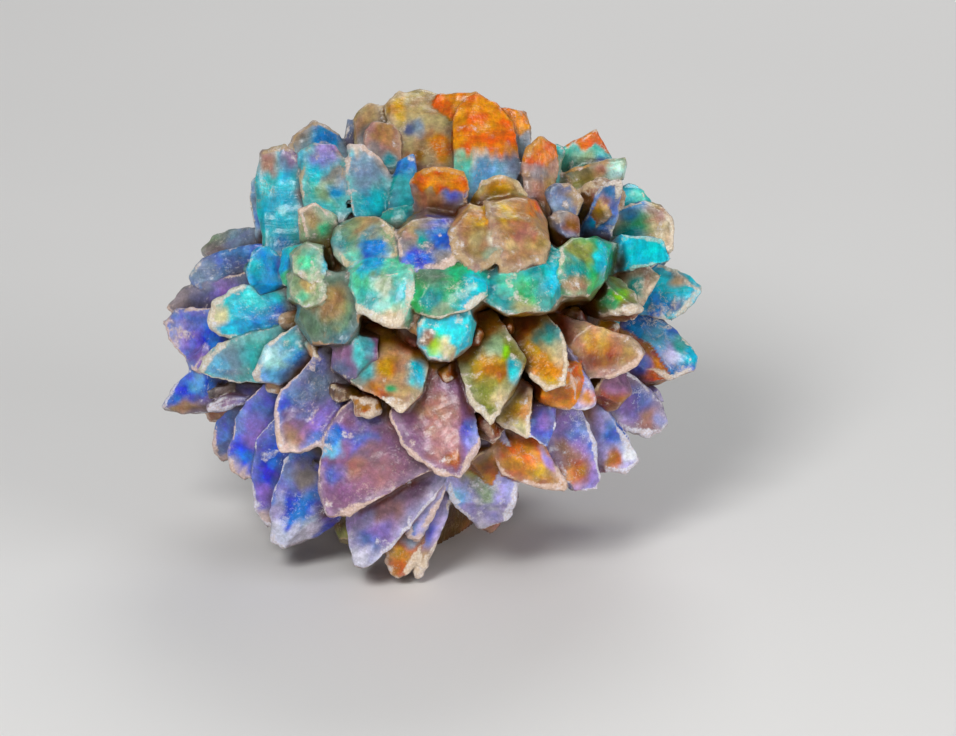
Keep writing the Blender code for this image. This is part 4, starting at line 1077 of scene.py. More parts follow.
class Crystal:
    """One crystal in its place: its solid, its faces as planes, and how it is coloured."""

    def __init__(self, name: str, block: Block, place: Matrix, tip: Vector, finish: Finish,
                 basis: tuple[Vector, Vector]) -> None:
        """Moves a carved block to its place and trims the root that the core hides.

        Args:
            name: What the crystal is called.
            block: The carved crystal, at the origin.
            place: Where its far end goes, and how it is turned.
            tip: The point that its glows are measured from.
            finish: Its colours.
            basis: The directions right and up that its glows are measured along.
        """
        self.name = name
        self.finish = finish
        self.tip = np.array(tip)
        self.basis = np.array([list(way) for way in basis])
        self.along = np.array(place.col[2][:3])
        self.across = np.array(place.col[0][:3])
        self.end = np.array(place.translation)
        self.seed = sum(ord(letter) * (at + 1) for at, letter in enumerate(name))
        block.slice_off((0, 0, -self.length_kept(place)), (0, 0, -1), is_face=False)
        block.mesh.transform(place)
        lowest = min(vert.co.z for vert in block.mesh.verts)
        if lowest < 0.0:
            block.mesh.normal_update()
            block.slice_off((0, 0, 0), (0, 0, -1), is_face=False)
        turn = np.array(place.to_3x3())
        self.normals = np.array([turn @ np.array(normal) for normal, _ in block.planes])
        self.offsets = np.array([offset for _, offset in block.planes]) + self.normals @ self.end
        bmesh.ops.recalc_face_normals(block.mesh, faces=block.mesh.faces)
        self.solid = bpy.data.meshes.new(name)
        block.mesh.to_mesh(self.solid)
        block.mesh.free()
        corners = np.array([vert.co for vert in self.solid.vertices])
        self.low, self.high = corners.min(0), corners.max(0)

    def length_kept(self, place: Matrix) -> float:
        """Finds how much of the crystal stands before the core has swallowed its root.

        Args:
            place: Where its far end is, and how it is turned.

        Returns:
            The length.
        """
        end, along = Vector(place.translation), Vector(place.col[2][:3])
        for step in range(200):
            depth = 2.0 + 0.5 * step
            inside = (end - along * depth) - growth_centre()
            if sum((part / axis) ** 2 for part, axis in zip(inside, CORE_RADII)) < ROOT_BURIAL ** 2:
                break
        return depth

    def outside(self, points: np.ndarray) -> np.ndarray:
        """How far points are outside the crystal, negative inside, for points in rows."""
        return (points @ self.normals.T - self.offsets).max(1)

    def near(self, points: np.ndarray, margin: float) -> np.ndarray:
        """The indices of the points that are within a margin of the crystal's box."""
        inside = ((points > self.low - margin) & (points < self.high + margin)).all(1)
        return np.nonzero(inside)[0]

    def edge_distance(self, points: np.ndarray) -> tuple[np.ndarray, np.ndarray]:
        """Finds where points of the surface are on the crystal's faces.

        Args:
            points: Places, one in each row.

        Returns:
            The face that each point is on, and how far that face's sharp edge is.
        """
        heights = points @ self.normals.T - self.offsets
        face = heights.argmax(1)
        top = heights[np.arange(len(points)), face]
        cosines = np.clip(self.normals @ self.normals.T, -1.0, 1.0)
        sines = np.sqrt(np.maximum(1.0 - cosines ** 2, 0.01))
        gaps = (top[:, None] - heights) / sines[face]
        sharpness = smooth(SHARP_EDGE_COSINE, 0.05, cosines[face])
        return face, np.where(sharpness > 0.02, gaps / np.maximum(sharpness, 0.02), FAR_AWAY).min(1)


class Crowding:
    """How much stone stands round each place, close by and further off. Recesses are crowded, tips not."""

    spacing = 1.0
    margin = 14.0
    lowest = (-56.0, -54.0, 0.0)
    highest = (57.0, 54.0, 92.0)

    def __init__(self, crystals: list[Crystal]) -> None:
        """Fills a grid with the crystals and the core, and blurs it.

        Args:
            crystals: Every crystal of the specimen.
        """
        self.low = np.array(self.lowest) - self.margin
        counts = np.ceil((np.array(self.highest) + self.margin - self.low) / self.spacing).astype(int)
        axes = [self.low[axis] + self.spacing * np.arange(counts[axis]) for axis in range(3)]
        filled = np.zeros(counts, np.float32)
        for crystal in crystals:
            first = np.floor((crystal.low - self.low) / self.spacing).astype(int)
            last = np.ceil((crystal.high - self.low) / self.spacing).astype(int) + 1
            part = [axes[axis][first[axis]:last[axis]] for axis in range(3)]
            places = np.stack(np.meshgrid(*part, indexing="ij"), -1)
            inside = crystal.outside(places.reshape(-1, 3)).reshape(places.shape[:3]) < 0.0
            filled[first[0]:last[0], first[1]:last[1], first[2]:last[2]][inside] = 1.0
        places = np.stack(np.meshgrid(*axes, indexing="ij"), -1)
        core = (((places - np.array(growth_centre())) / np.array(CORE_RADII)) ** 2).sum(-1) < 1.0
        filled[core] = 1.0
        self.near_by = self.blurred(filled, 1, 3)
        self.further = self.blurred(filled, 3, 3)

    @staticmethod
    def blurred(grid: np.ndarray, reach: int, times: int) -> np.ndarray:
        """Averages a grid over boxes of cells, again and again.

        Args:
            grid: The grid.
            reach: How many cells the box has on each side of its middle.
            times: How often it is averaged.

        Returns:
            The soft grid.
        """
        for _ in range(times):
            for axis in range(3):
                total = grid.copy()
                for step in range(1, reach + 1):
                    total += np.roll(grid, step, axis) + np.roll(grid, -step, axis)
                grid = total / (2 * reach + 1)
        return grid

    def sample(self, grid: np.ndarray, points: np.ndarray) -> np.ndarray:
        """Reads a grid between its cells.

        Args:
            grid: One of the two soft grids.
            points: Places, one in each row.

        Returns:
            One value for each point.
        """
        scaled = (points - self.low) / self.spacing
        cell = np.clip(np.floor(scaled).astype(int), 0, np.array(grid.shape) - 2)
        part = scaled - cell
        total = np.zeros(len(points))
        for corner in range(8):
            step = np.array((corner & 1, corner >> 1 & 1, corner >> 2))
            share = np.where(step, part, 1.0 - part).prod(1)
            x, y, z = (cell + step).T
            total += share * grid[x, y, z]
        return total


class Skin:
    """The fine surface of one row of crystals: found, painted and worn point by point."""

    def __init__(self, name: str, crystals: list[Crystal], mesh_size: float, has_heart: bool) -> None:
        """Fuses crystals into one closed surface.

        Args:
            name: The name of the piece.
            crystals: The crystals of this row.
            mesh_size: The side of the surface's smallest squares.
            has_heart: Whether the core lump and the foot are part of this row.
        """
        self.name = name
        self.crystals = crystals
        self.has_heart = has_heart
        self.mesh = self.fused(mesh_size)
        count = len(self.mesh.vertices)
        self.points = np.empty(count * 3, np.float32)
        self.mesh.vertices.foreach_get("co", self.points)
        self.points = self.points.reshape(-1, 3).astype(float)
        self.normals = np.empty(count * 3, np.float32)
        self.mesh.vertex_normals.foreach_get("vector", self.normals)
        self.normals = self.normals.reshape(-1, 3).astype(float)
        self.owner = np.full(count, -1)
        self.gap = np.full(count, FAR_AWAY)
        self.colour = np.tile(UMBER.linear, (count, 1))
        self.rim_colour = np.tile(SAND.linear, (count, 1))
        self.crust = np.zeros(count)
        self.growth = self.points.copy()
        self.height = np.zeros(count)

    def fused(self, mesh_size: float) -> bpy.types.Mesh:
        """Joins the solids, and the heart where the row has it, and remeshes them as one surface.

        Args:
            mesh_size: The side of the surface's smallest squares.

        Returns:
            The surface.
        """
        together = bmesh.new()
        for crystal in self.crystals:
            together.from_mesh(crystal.solid)
        if self.has_heart:
            self.add_heart(together)
        data = bpy.data.meshes.new(self.name)
        together.to_mesh(data)
        together.free()
        piece = bpy.data.objects.new(self.name + "_rough", data)
        bpy.context.scene.collection.objects.link(piece)
        remesh = piece.modifiers.new("one_surface", "REMESH")
        remesh.mode = "VOXEL"
        remesh.voxel_size = mesh_size
        depsgraph = bpy.context.evaluated_depsgraph_get()
        surface = bpy.data.meshes.new_from_object(piece.evaluated_get(depsgraph))
        bpy.data.objects.remove(piece)
        self.drop_specks(surface)
        return surface

    @staticmethod
    def add_heart(together: bmesh.types.BMesh) -> None:
        """Adds the lump that every spear grows from, and its worn foot with a flat underside.

        Args:
            together: The mesh that they are added to.
        """
        stretch = Matrix.Translation(growth_centre()) @ Matrix.Diagonal((*CORE_RADII, 1.0))
        bmesh.ops.create_icosphere(together, subdivisions=4, radius=1.0, matrix=stretch)
        middle = Vector((*FOOT_MIDDLE, 0.0))
        corners = []
        for corner in FOOT_CORNERS:
            low = Vector((*corner, 0.0))
            high = middle + (low - middle) * FOOT_SWELL
            high.z = FOOT_HEIGHT
            corners += [together.verts.new(low), together.verts.new(high)]
        bmesh.ops.convex_hull(together, input=corners)

    @staticmethod
    def drop_specks(surface: bpy.types.Mesh) -> None:
        """Drops the specks and sealed pockets that remeshing leaves beside the large bodies.

        Args:
            surface: The mesh, which is changed.
        """
        mesh = bmesh.new()
        mesh.from_mesh(surface)
        unseen = set(mesh.verts)
        bodies = []
        while unseen:
            start = unseen.pop()
            body, waiting = [start], [start]
            while waiting:
                for edge in waiting.pop().link_edges:
                    for vert in edge.verts:
                        if vert in unseen:
                            unseen.remove(vert)
                            body.append(vert)
                            waiting.append(vert)
            bodies.append(body)
        bodies.sort(key=len)
        for body in bodies:
            if len(body) < SPECK:
                bmesh.ops.delete(mesh, geom=body, context="VERTS")
        mesh.to_mesh(surface)
        mesh.free()
        surface.update()

    def find_owners(self, everything: list[Crystal]) -> None:
        """Finds the crystal that each point lies on, and how near the next crystal is.

        Args:
            everything: Every crystal of the specimen.
        """
        closest = np.full(len(self.points), NOT_ON_A_CRYSTAL)
        own = {id(crystal): at for at, crystal in enumerate(self.crystals)}
        for crystal in everything:
            index = crystal.near(self.points, GAP_SEEN)
            if not len(index):
                continue
            distance = crystal.outside(self.points[index])
            if id(crystal) in own:
                better = distance < closest[index]
                self.gap[index] = np.where(better, np.minimum(self.gap[index], closest[index]),
                                           np.minimum(self.gap[index], distance))
                closest[index] = np.where(better, distance, closest[index])
                self.owner[index[better]] = own[id(crystal)]
            else:
                self.gap[index] = np.minimum(self.gap[index], distance)
        core = np.sqrt((((self.points - np.array(growth_centre())) / np.array(CORE_RADII)) ** 2).sum(1))
        self.gap = np.minimum(self.gap, np.where(self.owner < 0, FAR_AWAY, (core - 1.0) * min(CORE_RADII)))

    def drop_hidden(self) -> None:
        """Takes away the surface that other crystals bury out of sight."""
        kept = self.gap > -HIDDEN_DEPTH
        mesh = bmesh.new()
        mesh.from_mesh(self.mesh)
        buried = [vert for vert, keep in zip(mesh.verts, kept) if not keep]
        bmesh.ops.delete(mesh, geom=buried, context="VERTS")
        mesh.to_mesh(self.mesh)
        mesh.free()
        for name in ("points", "normals", "owner", "gap", "colour", "rim_colour", "crust", "growth",
                     "height"):
            setattr(self, name, getattr(self, name)[kept])

    def dress(self, everything: list[Crystal], crowding: Crowding, grain: Grain) -> None:
        """Works out every point's colours, crust and wear.

        Args:
            everything: Every crystal of the specimen.
            crowding: Where stone stands close.
            grain: The unevenness of the stone.
        """
        self.find_owners(everything)
        self.drop_hidden()
        self.recess = crowding.sample(crowding.further, self.points + self.normals * RECESS_PROBE)
        self.crease = crowding.sample(crowding.near_by, self.points + self.normals * CREASE_PROBE)
        for at, crystal in enumerate(self.crystals):
            index = np.nonzero(self.owner == at)[0]
            if len(index):
                face, edge = crystal.edge_distance(self.points[index])
                self.paint(crystal, index, face, edge, grain)
                self.wear(crystal, index, edge, grain)
        bare = self.owner < 0
        mottle = grain.layered(self.points[bare], 6.0)
        self.colour[bare] = blend(self.colour[bare], AMBER, smooth(-0.2, 0.9, mottle) * 0.7)
        self.height += 0.35 * grain.layered(self.points, 5.0, 2) * bare
        self.paint_crease_shade()

    def paint_crease_shade(self) -> None:
        """Paints shade into the narrow creases between crystals, and wears off their crust there."""
        closeness = 1.0 - smooth(0.0, GAP_SEEN, np.abs(self.gap))
        # Painted shade: points close to another crystal in a crowded crease are darkened towards umber.
        crease_shade = closeness * smooth(0.32, 0.58, self.crease)
        self.colour = blend(self.colour, UMBER, 0.60 * crease_shade) * (1.0 - 0.45 * crease_shade)[:, None]
        self.crust *= 1.0 - 0.6 * crease_shade

    def paint(self, crystal: Crystal, index: np.ndarray, face: np.ndarray, edge: np.ndarray,
              grain: Grain) -> None:
        """Lays the colours of one crystal on its points, with painted shade towards its root, on its
        undersides and in its recesses.

        Args:
            crystal: The crystal.
            index: Its points.
            face: The face that each of them is on.
            edge: How far the sharp edge of that face is.
            grain: The unevenness of the stone.
        """
        points, finish = self.points[index], crystal.finish
        depth = (crystal.end - points) @ crystal.along
        drawn_out = points - 0.7 * np.outer(points @ crystal.along, crystal.along)
        drift = np.stack([grain.at(points, 3.4, shift) + 0.6 * grain.at(drawn_out, 1.1, shift)
                          for shift in (0.0, 5.1)], 1)
        chance = np.random.default_rng(crystal.seed)
        tints = chance.uniform(*FACE_TINTS, (len(crystal.normals), 1))
        tints = tints * chance.uniform(*HUE_TINTS, (len(crystal.normals), 3))
        # Painted light and shade: a little brighter near the tip and darker towards the root.
        shade = 1.08 - 0.30 * smooth(3.0, 20.0, depth + 2.0 * drift[:, 0])
        colour = self.fire(crystal, points, drift) * tints[face] * shade[:, None]
        capped = np.zeros(len(points))
        if finish.cap is not None:
            capped = self.capped(crystal, points, depth, drift, grain)
            colour = blend(colour, finish.cap, capped)
        # Painted shade: faces turned downward take the shade hue.
        underside = smooth(0.1, 0.8, -self.normals[index, 2])
        colour = blend(colour, finish.under, 0.7 * underside)
        halo = (1.0 - smooth(0.0, 3.0, edge + 0.8 * drift[:, 0])) * (0.1 + 0.25 * finish.crust)
        colour = blend(colour, FROST, halo * (1.0 - capped) * 0.6)
        # Painted shade: deep recesses take the shade hue and are darkened.
        deep = smooth(0.50, 0.72, self.recess[index] + 0.04 * drift[:, 1])
        colour = blend(colour, finish.under, 0.9 * deep) * (1.0 - 0.3 * deep)[:, None]
        local = points - crystal.end
        inward = np.cross(crystal.along, crystal.across)
        growth = np.stack([local @ crystal.across, local @ inward, local @ crystal.along], 1)
        streaks = grain.layered(growth * np.array((1.0, 1.0, 0.28)) + crystal.seed % 53, 1.3, 2)
        flicker = 1.0 + 0.10 * grain.layered(points, 2.6, 3) + 0.20 * streaks
        self.growth[index] = growth
        self.colour[index] = np.clip(colour * flicker[:, None], 0.0, 1.0)
        self.rim_colour[index] = RIM_SHARE * finish.rim.linear + (1.0 - RIM_SHARE) * self.colour[index]

    @staticmethod
    def fire(crystal: Crystal, points: np.ndarray, drift: np.ndarray) -> np.ndarray:
        """Finds the body colour and the patches of fire of a crystal.

        Args:
            crystal: The crystal.
            points: Places, one in each row.
            drift: How far the patches are moved there, right and up.

        Returns:
            A colour for each point.
        """
        seen = (points - crystal.tip) @ crystal.basis.T + 1.2 * drift
        axis = crystal.basis @ crystal.along
        length = np.linalg.norm(axis)
        axis = axis / length if length > 0.35 else np.array((0.0, 1.0))
        side = np.array((axis[1], -axis[0]))
        colour = np.tile(crystal.finish.body.linear, (len(points), 1))
        for glow in crystal.finish.glows:
            away = seen - np.array((glow.right, glow.up))
            distance = np.hypot((away @ axis) / glow.stretch, away @ side) / glow.size
            colour = blend(colour, glow.hue, GLOW_STRENGTH - GLOW_STRENGTH * smooth(*GLOW_FADE, distance))
        return colour

    @staticmethod
    def capped(crystal: Crystal, points: np.ndarray, depth: np.ndarray, drift: np.ndarray,
               grain: Grain) -> np.ndarray:
        """Finds where the coloured cap covers a crystal. An orange cap ends sharply, others fade.

        Args:
            crystal: The crystal.
            points: Places, one in each row.
            depth: How far they are from the crystal's end.
            drift: How far patches of colour are moved there.
            grain: The unevenness of the stone.

        Returns:
            The cap's share at each point.
        """
        cap, reach = crystal.finish.cap, crystal.finish.cap_depth
        streaks = np.stack([points @ crystal.across / 0.9, points[:, 1] / 2.5, depth / 6.0], 1)
        edge = depth + 1.5 * grain.at(streaks, 1.0, 3.3) + 0.8 * drift[:, 0]
        start, share = ORANGE_CAP if cap in (ORANGE, DEEP_ORANGE) else OTHER_CAP
        return share - share * smooth(start * reach, 1.1 * reach, edge)

    def wear(self, crystal: Crystal, index: np.ndarray, edge: np.ndarray, grain: Grain) -> None:
        """Works out the crust on the rims of one crystal, its hollow faces and its growth steps.

        Args:
            crystal: The crystal.
            index: Its points.
            edge: How far the sharp edge of the face is that each of them is on.
            grain: The unevenness of the stone.
        """
        points, strength = self.points[index], crystal.finish.crust
        depth = (crystal.end - points) @ crystal.along
        bumps = [grain.at(points, size, 9.2) for size in BUMP_SIZES]
        wide, middle, fine = bumps
        broken = grain.at(points, 4.0, 31.7)
        reach = 0.45 + 1.1 * strength * (0.75 + 0.7 * wide)
        reach *= 1.75 - 1.25 * smooth(0.5, 9.0, depth)
        rim = 1.0 - smooth(0.3, 1.0, (edge + 0.3 * middle) / reach)
        rim *= 0.35 + 0.65 * smooth(-0.25, 0.25, broken + 0.8 * (strength - 0.6))
        near_rim = 0.2 * (1.0 - smooth(0.0, 3.0, edge)) + 0.15 * (1.0 - smooth(0.0, 6.0, depth))
        patches = smooth(0.55, 1.15, grain.layered(points, 3.2, 3) + near_rim + 0.45 * strength ** 2) * 0.5
        exposed = 1.0 - smooth(0.5, 0.66, self.recess[index])
        crust = np.maximum(rim, patches) * (0.2 + 0.8 * exposed)
        steps = grain.at(self.growth[index] * np.array((0.35, 0.35, 1.0)), 1.5, crystal.seed % 97)
        hollow = HOLLOW_DEPTH * smooth(0.5, 2.0, edge / reach) * (0.3 + 0.7 * strength)
        rounding = EDGE_ROUNDING * (1.0 - smooth(0.0, 1.0, edge))
        relief = sum(height * bump for height, bump in zip(BUMP_HEIGHTS, bumps))
        self.crust[index] = crust
        self.height[index] = (crust * (0.12 + 0.30 * strength * fine) - hollow - rounding + relief
                              + STEP_HEIGHT * steps * (1.0 - crust))

    def finished(self, grain: Grain) -> bpy.types.Object:
        """Moves the points, writes the paint on the mesh and makes the piece.

        Args:
            grain: The unevenness of the stone.

        Returns:
            The piece, in metres.
        """
        bend = np.stack([0.55 * grain.at(self.points, 9.0, shift) + 0.2 * grain.at(self.points, 3.6, shift)
                         for shift in (40.0, 60.0, 80.0)], 1)
        height = self.points[:, 2]
        bend *= smooth(0.0, 6.0, height)[:, None]
        moved = self.points + bend + self.normals * (self.height * smooth(0.0, 1.5, height))[:, None]
        moved[:, 2] = np.maximum(moved[:, 2], 0.0)
        self.mesh.vertices.foreach_set("co", (moved * MM).astype(np.float32).ravel())
        self.mesh.name = self.name
        opaque = np.ones((len(self.points), 1))
        # The fire colours carry the painted light and shade of tips, roots, undersides, recesses and
        # creases.
        self.write("fire", "FLOAT_COLOR", "color", np.hstack([self.colour, opaque]))
        self.write("rim_colour", "FLOAT_COLOR", "color", np.hstack([self.rim_colour, opaque]))
        self.write("crust", "FLOAT", "value", self.crust)
        self.write("recess", "FLOAT", "value", self.recess)
        self.write("growth", "FLOAT_VECTOR", "vector", self.growth)
        self.mesh.polygons.foreach_set("use_smooth", np.ones(len(self.mesh.polygons), bool))
        self.mesh.update()
        piece = bpy.data.objects.new(self.name, self.mesh)
        bpy.context.scene.collection.objects.link(piece)
        return piece

    def write(self, name: str, kind: str, field_name: str, values: np.ndarray) -> None:
        """Stores a value for each point as an attribute of the mesh."""
        layer = self.mesh.attributes.new(name, kind, "POINT")
        layer.data.foreach_set(field_name, values.astype(np.float32).ravel())


@dataclass
class CrystalRow:
    """A row of crystals that makes one piece of the scene."""

    name: str
    mesh_size: float
    has_heart: bool = False
    crystals: list[Crystal] = field(default_factory=list)

    def grow(self, grown: list[Crystal]) -> None:
        """Carves the crystals of the row.

        Args:
            grown: The crystals of the rows before it.
        """
        raise NotImplementedError

    def build(self, everything: list[Crystal], crowding: Crowding, grain: Grain,
              material: bpy.types.Material) -> bpy.types.Object:
        """Fuses, paints and wears the row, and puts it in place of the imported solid.

        Args:
            everything: Every crystal of the specimen.
            crowding: Where stone stands close.
            grain: The unevenness of the stone.
            material: What the row is made of.

        Returns:
            The piece.
        """
        skin = Skin(self.name, self.crystals, self.mesh_size, self.has_heart)
        skin.dress(everything, crowding, grain)
        piece = skin.finished(grain)
        piece.data.materials.append(material)
        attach(piece, BODY)
        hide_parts(NODE)
        triangles = sum(len(polygon.vertices) - 2 for polygon in piece.data.polygons)
        LOG.info("%s: %d crystals, %d triangles", self.name, len(self.crystals), triangles)
        return piece


@dataclass
class FaceRow(CrystalRow):
    """A row that the photographed face shows, from the tables."""

    spears: tuple[Spear, ...] = ()

    def grow(self, grown: list[Crystal]) -> None:
        """Carves each crystal of the tables, and the ledge crystal beside it.

        Args:
            grown: The crystals of the rows before it, which these don't depend on.
        """
        basis = (Vector((1.0, 0.0, 0.0)), view_up())
        for spear in self.spears:
            tip = face_point(*spear.tip)
            root = face_point(*spear.root, ROOT_DEPTH_SHARE * spear.tip[2])
            end_on = abs((tip - root).normalized().dot(view_direction())) > END_ON
            facing = Vector((0.0, 0.0, 1.0)) if end_on else view_direction()
            place = Matrix.Translation(tip) @ axes_of(tip, root, facing, spear.turn)
            length = (tip - root).length
            chance = random.Random(CHIP_SEED + FACE.index(spear))
            if spear.outline is not None:
                block = Plate(spear, place, length, chance)
            else:
                block = carve_spear(spear.width, spear.thick, length, spear.habit.value, spear.lean, chance)
            self.crystals.append(Crystal(spear.name, block, place, tip, spear.finish, basis))
            if spear.ledge is not None:
                step = Vector((spear.ledge * spear.width / 2, 0.0, -LEDGE_STEP * spear.width))
                block = carve_spear(LEDGE_WIDTH * spear.width, LEDGE_THICKNESS * spear.thick,
                                    length + step.z, spear.habit.value, spear.lean, chance)
                beside = place @ Matrix.Translation(step)
                ledge = Crystal(spear.name + "_ledge", block, beside, tip, spear.finish, basis)
                self.crystals.append(ledge)


class Zone(Enum):
    """Bands of colour round the ball, each a choice of (body, glows, rim, shade) hues, the last painted as
    shade in recesses and on undersides.
    """

    CROWN = ((SAND, (SLATE, ORANGE, TAN), PALE_SAND, RUST),
             (GREY_BLUE, (ORANGE, MINT, SAND), HONEY, UMBER),
             (AQUA, (LAVENDER, CYAN, SAND), PINK_CREAM, DEEP_TEAL))
    UPPER = ((AQUA, (CYAN, INDIGO, SAGE), PINK_CREAM, DEEP_TEAL),
             (SAGE, (GREEN, CYAN, TAN), CREAM, UMBER),
             (TAN, (ROSE, HONEY, GREY_BLUE), SAND, RUST))
    BELT = ((CYAN, (AZURE, BLUE, PALE_SAND), CREAM, UMBER),
            (BLUE, (INDIGO, GREY_BLUE, AZURE), PINK_CREAM, UMBER),
            (TEAL, (GREEN, MINT, CYAN), CREAM, AMBER))
    SKIRT = ((INDIGO, (ROYAL, VIOLET, LAVENDER), PINK_CREAM, DUSK),
             (MAUVE, (ROYAL, VIOLET, PINK_MAUVE), CREAM, AMBER),
             (AMBER, (VIOLET, HONEY, ROSE), PINK_CREAM, RUST))


@dataclass
class BackRow(CrystalRow):
    """A row of the sides, back and underside, spread evenly over a sphere between two heights."""

    lowest: float = -1.0
    highest: float = 1.0

    @staticmethod
    def habit(height: float, chance: random.Random) -> Habit:
        """Picks a habit: stout near the top, pointed round the skirt.

        Args:
            height: How high the spear stands, from -1 to 1.
            chance: Where the choice comes from.

        Returns:
            The habit.
        """
        if height > 0.55:
            return chance.choice((Habit.BLUNT, Habit.BLUNT, Habit.PYRAMID, Habit.CHISEL))
        if height > -0.1:
            return chance.choice((Habit.BLADE, Habit.BLADE, Habit.BLUNT, Habit.SPEAR))
        return chance.choice((Habit.SPEAR, Habit.SPEAR, Habit.BLADE, Habit.CHISEL))

    @staticmethod
    def share(way: Vector) -> float:
        """Finds how far a spear may reach.

        Args:
            way: Where it points.

        Returns:
            Its share of the full reach, or 0 where the face has its own spears.
        """
        nearness = way.dot(view_direction())
        if way.z < UNDERSIDE_HEIGHT:
            return UNDERSIDE_REACH
        if nearness > FACE_EDGE:
            return VALLEY_REACH if way.z > VALLEY_HEIGHT else 0.0
        if nearness > OUTLINE_EDGE:
            return UPPER_OUTLINE_REACH if way.z > LOWER_OUTLINE_HEIGHT else LOWER_OUTLINE_REACH
        return 1.0

    @staticmethod
    def finish(height: float, length: float, chance: random.Random) -> Finish:
        """Draws a finish from the zone of colour that a height lies in.

        Args:
            height: How high the spear stands, from -1 to 1.
            length: How long it is.
            chance: Where the choices come from.

        Returns:
            The finish.
        """
        zone = (Zone.CROWN if height > 0.62 else Zone.UPPER if height > 0.25 else
                Zone.BELT if height > -0.15 else Zone.SKIRT)
        body, hues, rim, under = chance.choice(zone.value)
        more = chance.choice((SMOKE, SAND, ROSE, SKY))
        glows = tuple(Glow(hue, chance.uniform(-4.5, 4.5), -chance.uniform(0.0, 0.6 * length),
                           chance.uniform(1.6, 3.6), chance.uniform(1.0, 2.0))
                      for hue in (*hues, more, hues[0]))
        cap = ORANGE if zone is Zone.CROWN and chance.random() < 0.35 else None
        return Finish(body, glows, rim, chance.uniform(0.4, 1.0), cap, chance.uniform(3.0, 7.0), under)

    def grow(self, grown: list[Crystal]) -> None:
        """Carves the spears of every direction, and keeps those between the row's heights.

        Args:
            grown: The crystals of the rows before it, which these don't depend on.
        """
        chance, colours = random.Random(BACK_SEED), random.Random(BACK_SEED + 1)
        for number in range(BACK_SPEARS):
            height = 1 - 2 * (number + 0.5) / BACK_SPEARS
            ring = math.sqrt(1 - height * height)
            angle = number * GOLDEN_TURN
            way = Vector((ring * math.cos(angle), ring * math.sin(angle), height))
            way = (way + scattered(DIRECTION_SCATTER, chance)).normalized()
            form = replace(self.habit(height, chance).value, chips=1)
            stretch = chance.uniform(*BACK_STRETCH) * self.share(way)
            width = chance.uniform(*BACK_WIDTHS)
            thick = width * chance.uniform(*BACK_FLATNESS)
            lean = chance.uniform(-0.5, 0.5)
            turn = chance.uniform(-25, 25)
            sway = scattered(ROOT_SWAY, chance)
            if stretch == 0.0:
                continue
            reach = Vector([axis * part for axis, part in zip(BACK_REACH, way)])
            tip = growth_centre() + reach * stretch
            root = growth_centre() + (way * ROOT_DEPTH_SHARE + sway).normalized() * BACK_ROOT_DISTANCE
            length = (tip - root).length
            block = carve_spear(width, thick, length, form, lean, chance)
            finish = self.finish(height, length, colours)
            if self.lowest <= height < self.highest:
                place = Matrix.Translation(tip) @ axes_of(tip, root, Vector((0.0, 0.0, 1.0)), turn)
                basis = (place.col[0].to_3d(), place.col[2].to_3d())
                self.crystals.append(Crystal(f"back_{number}", block, place, tip, finish, basis))
            else:
                block.mesh.free()


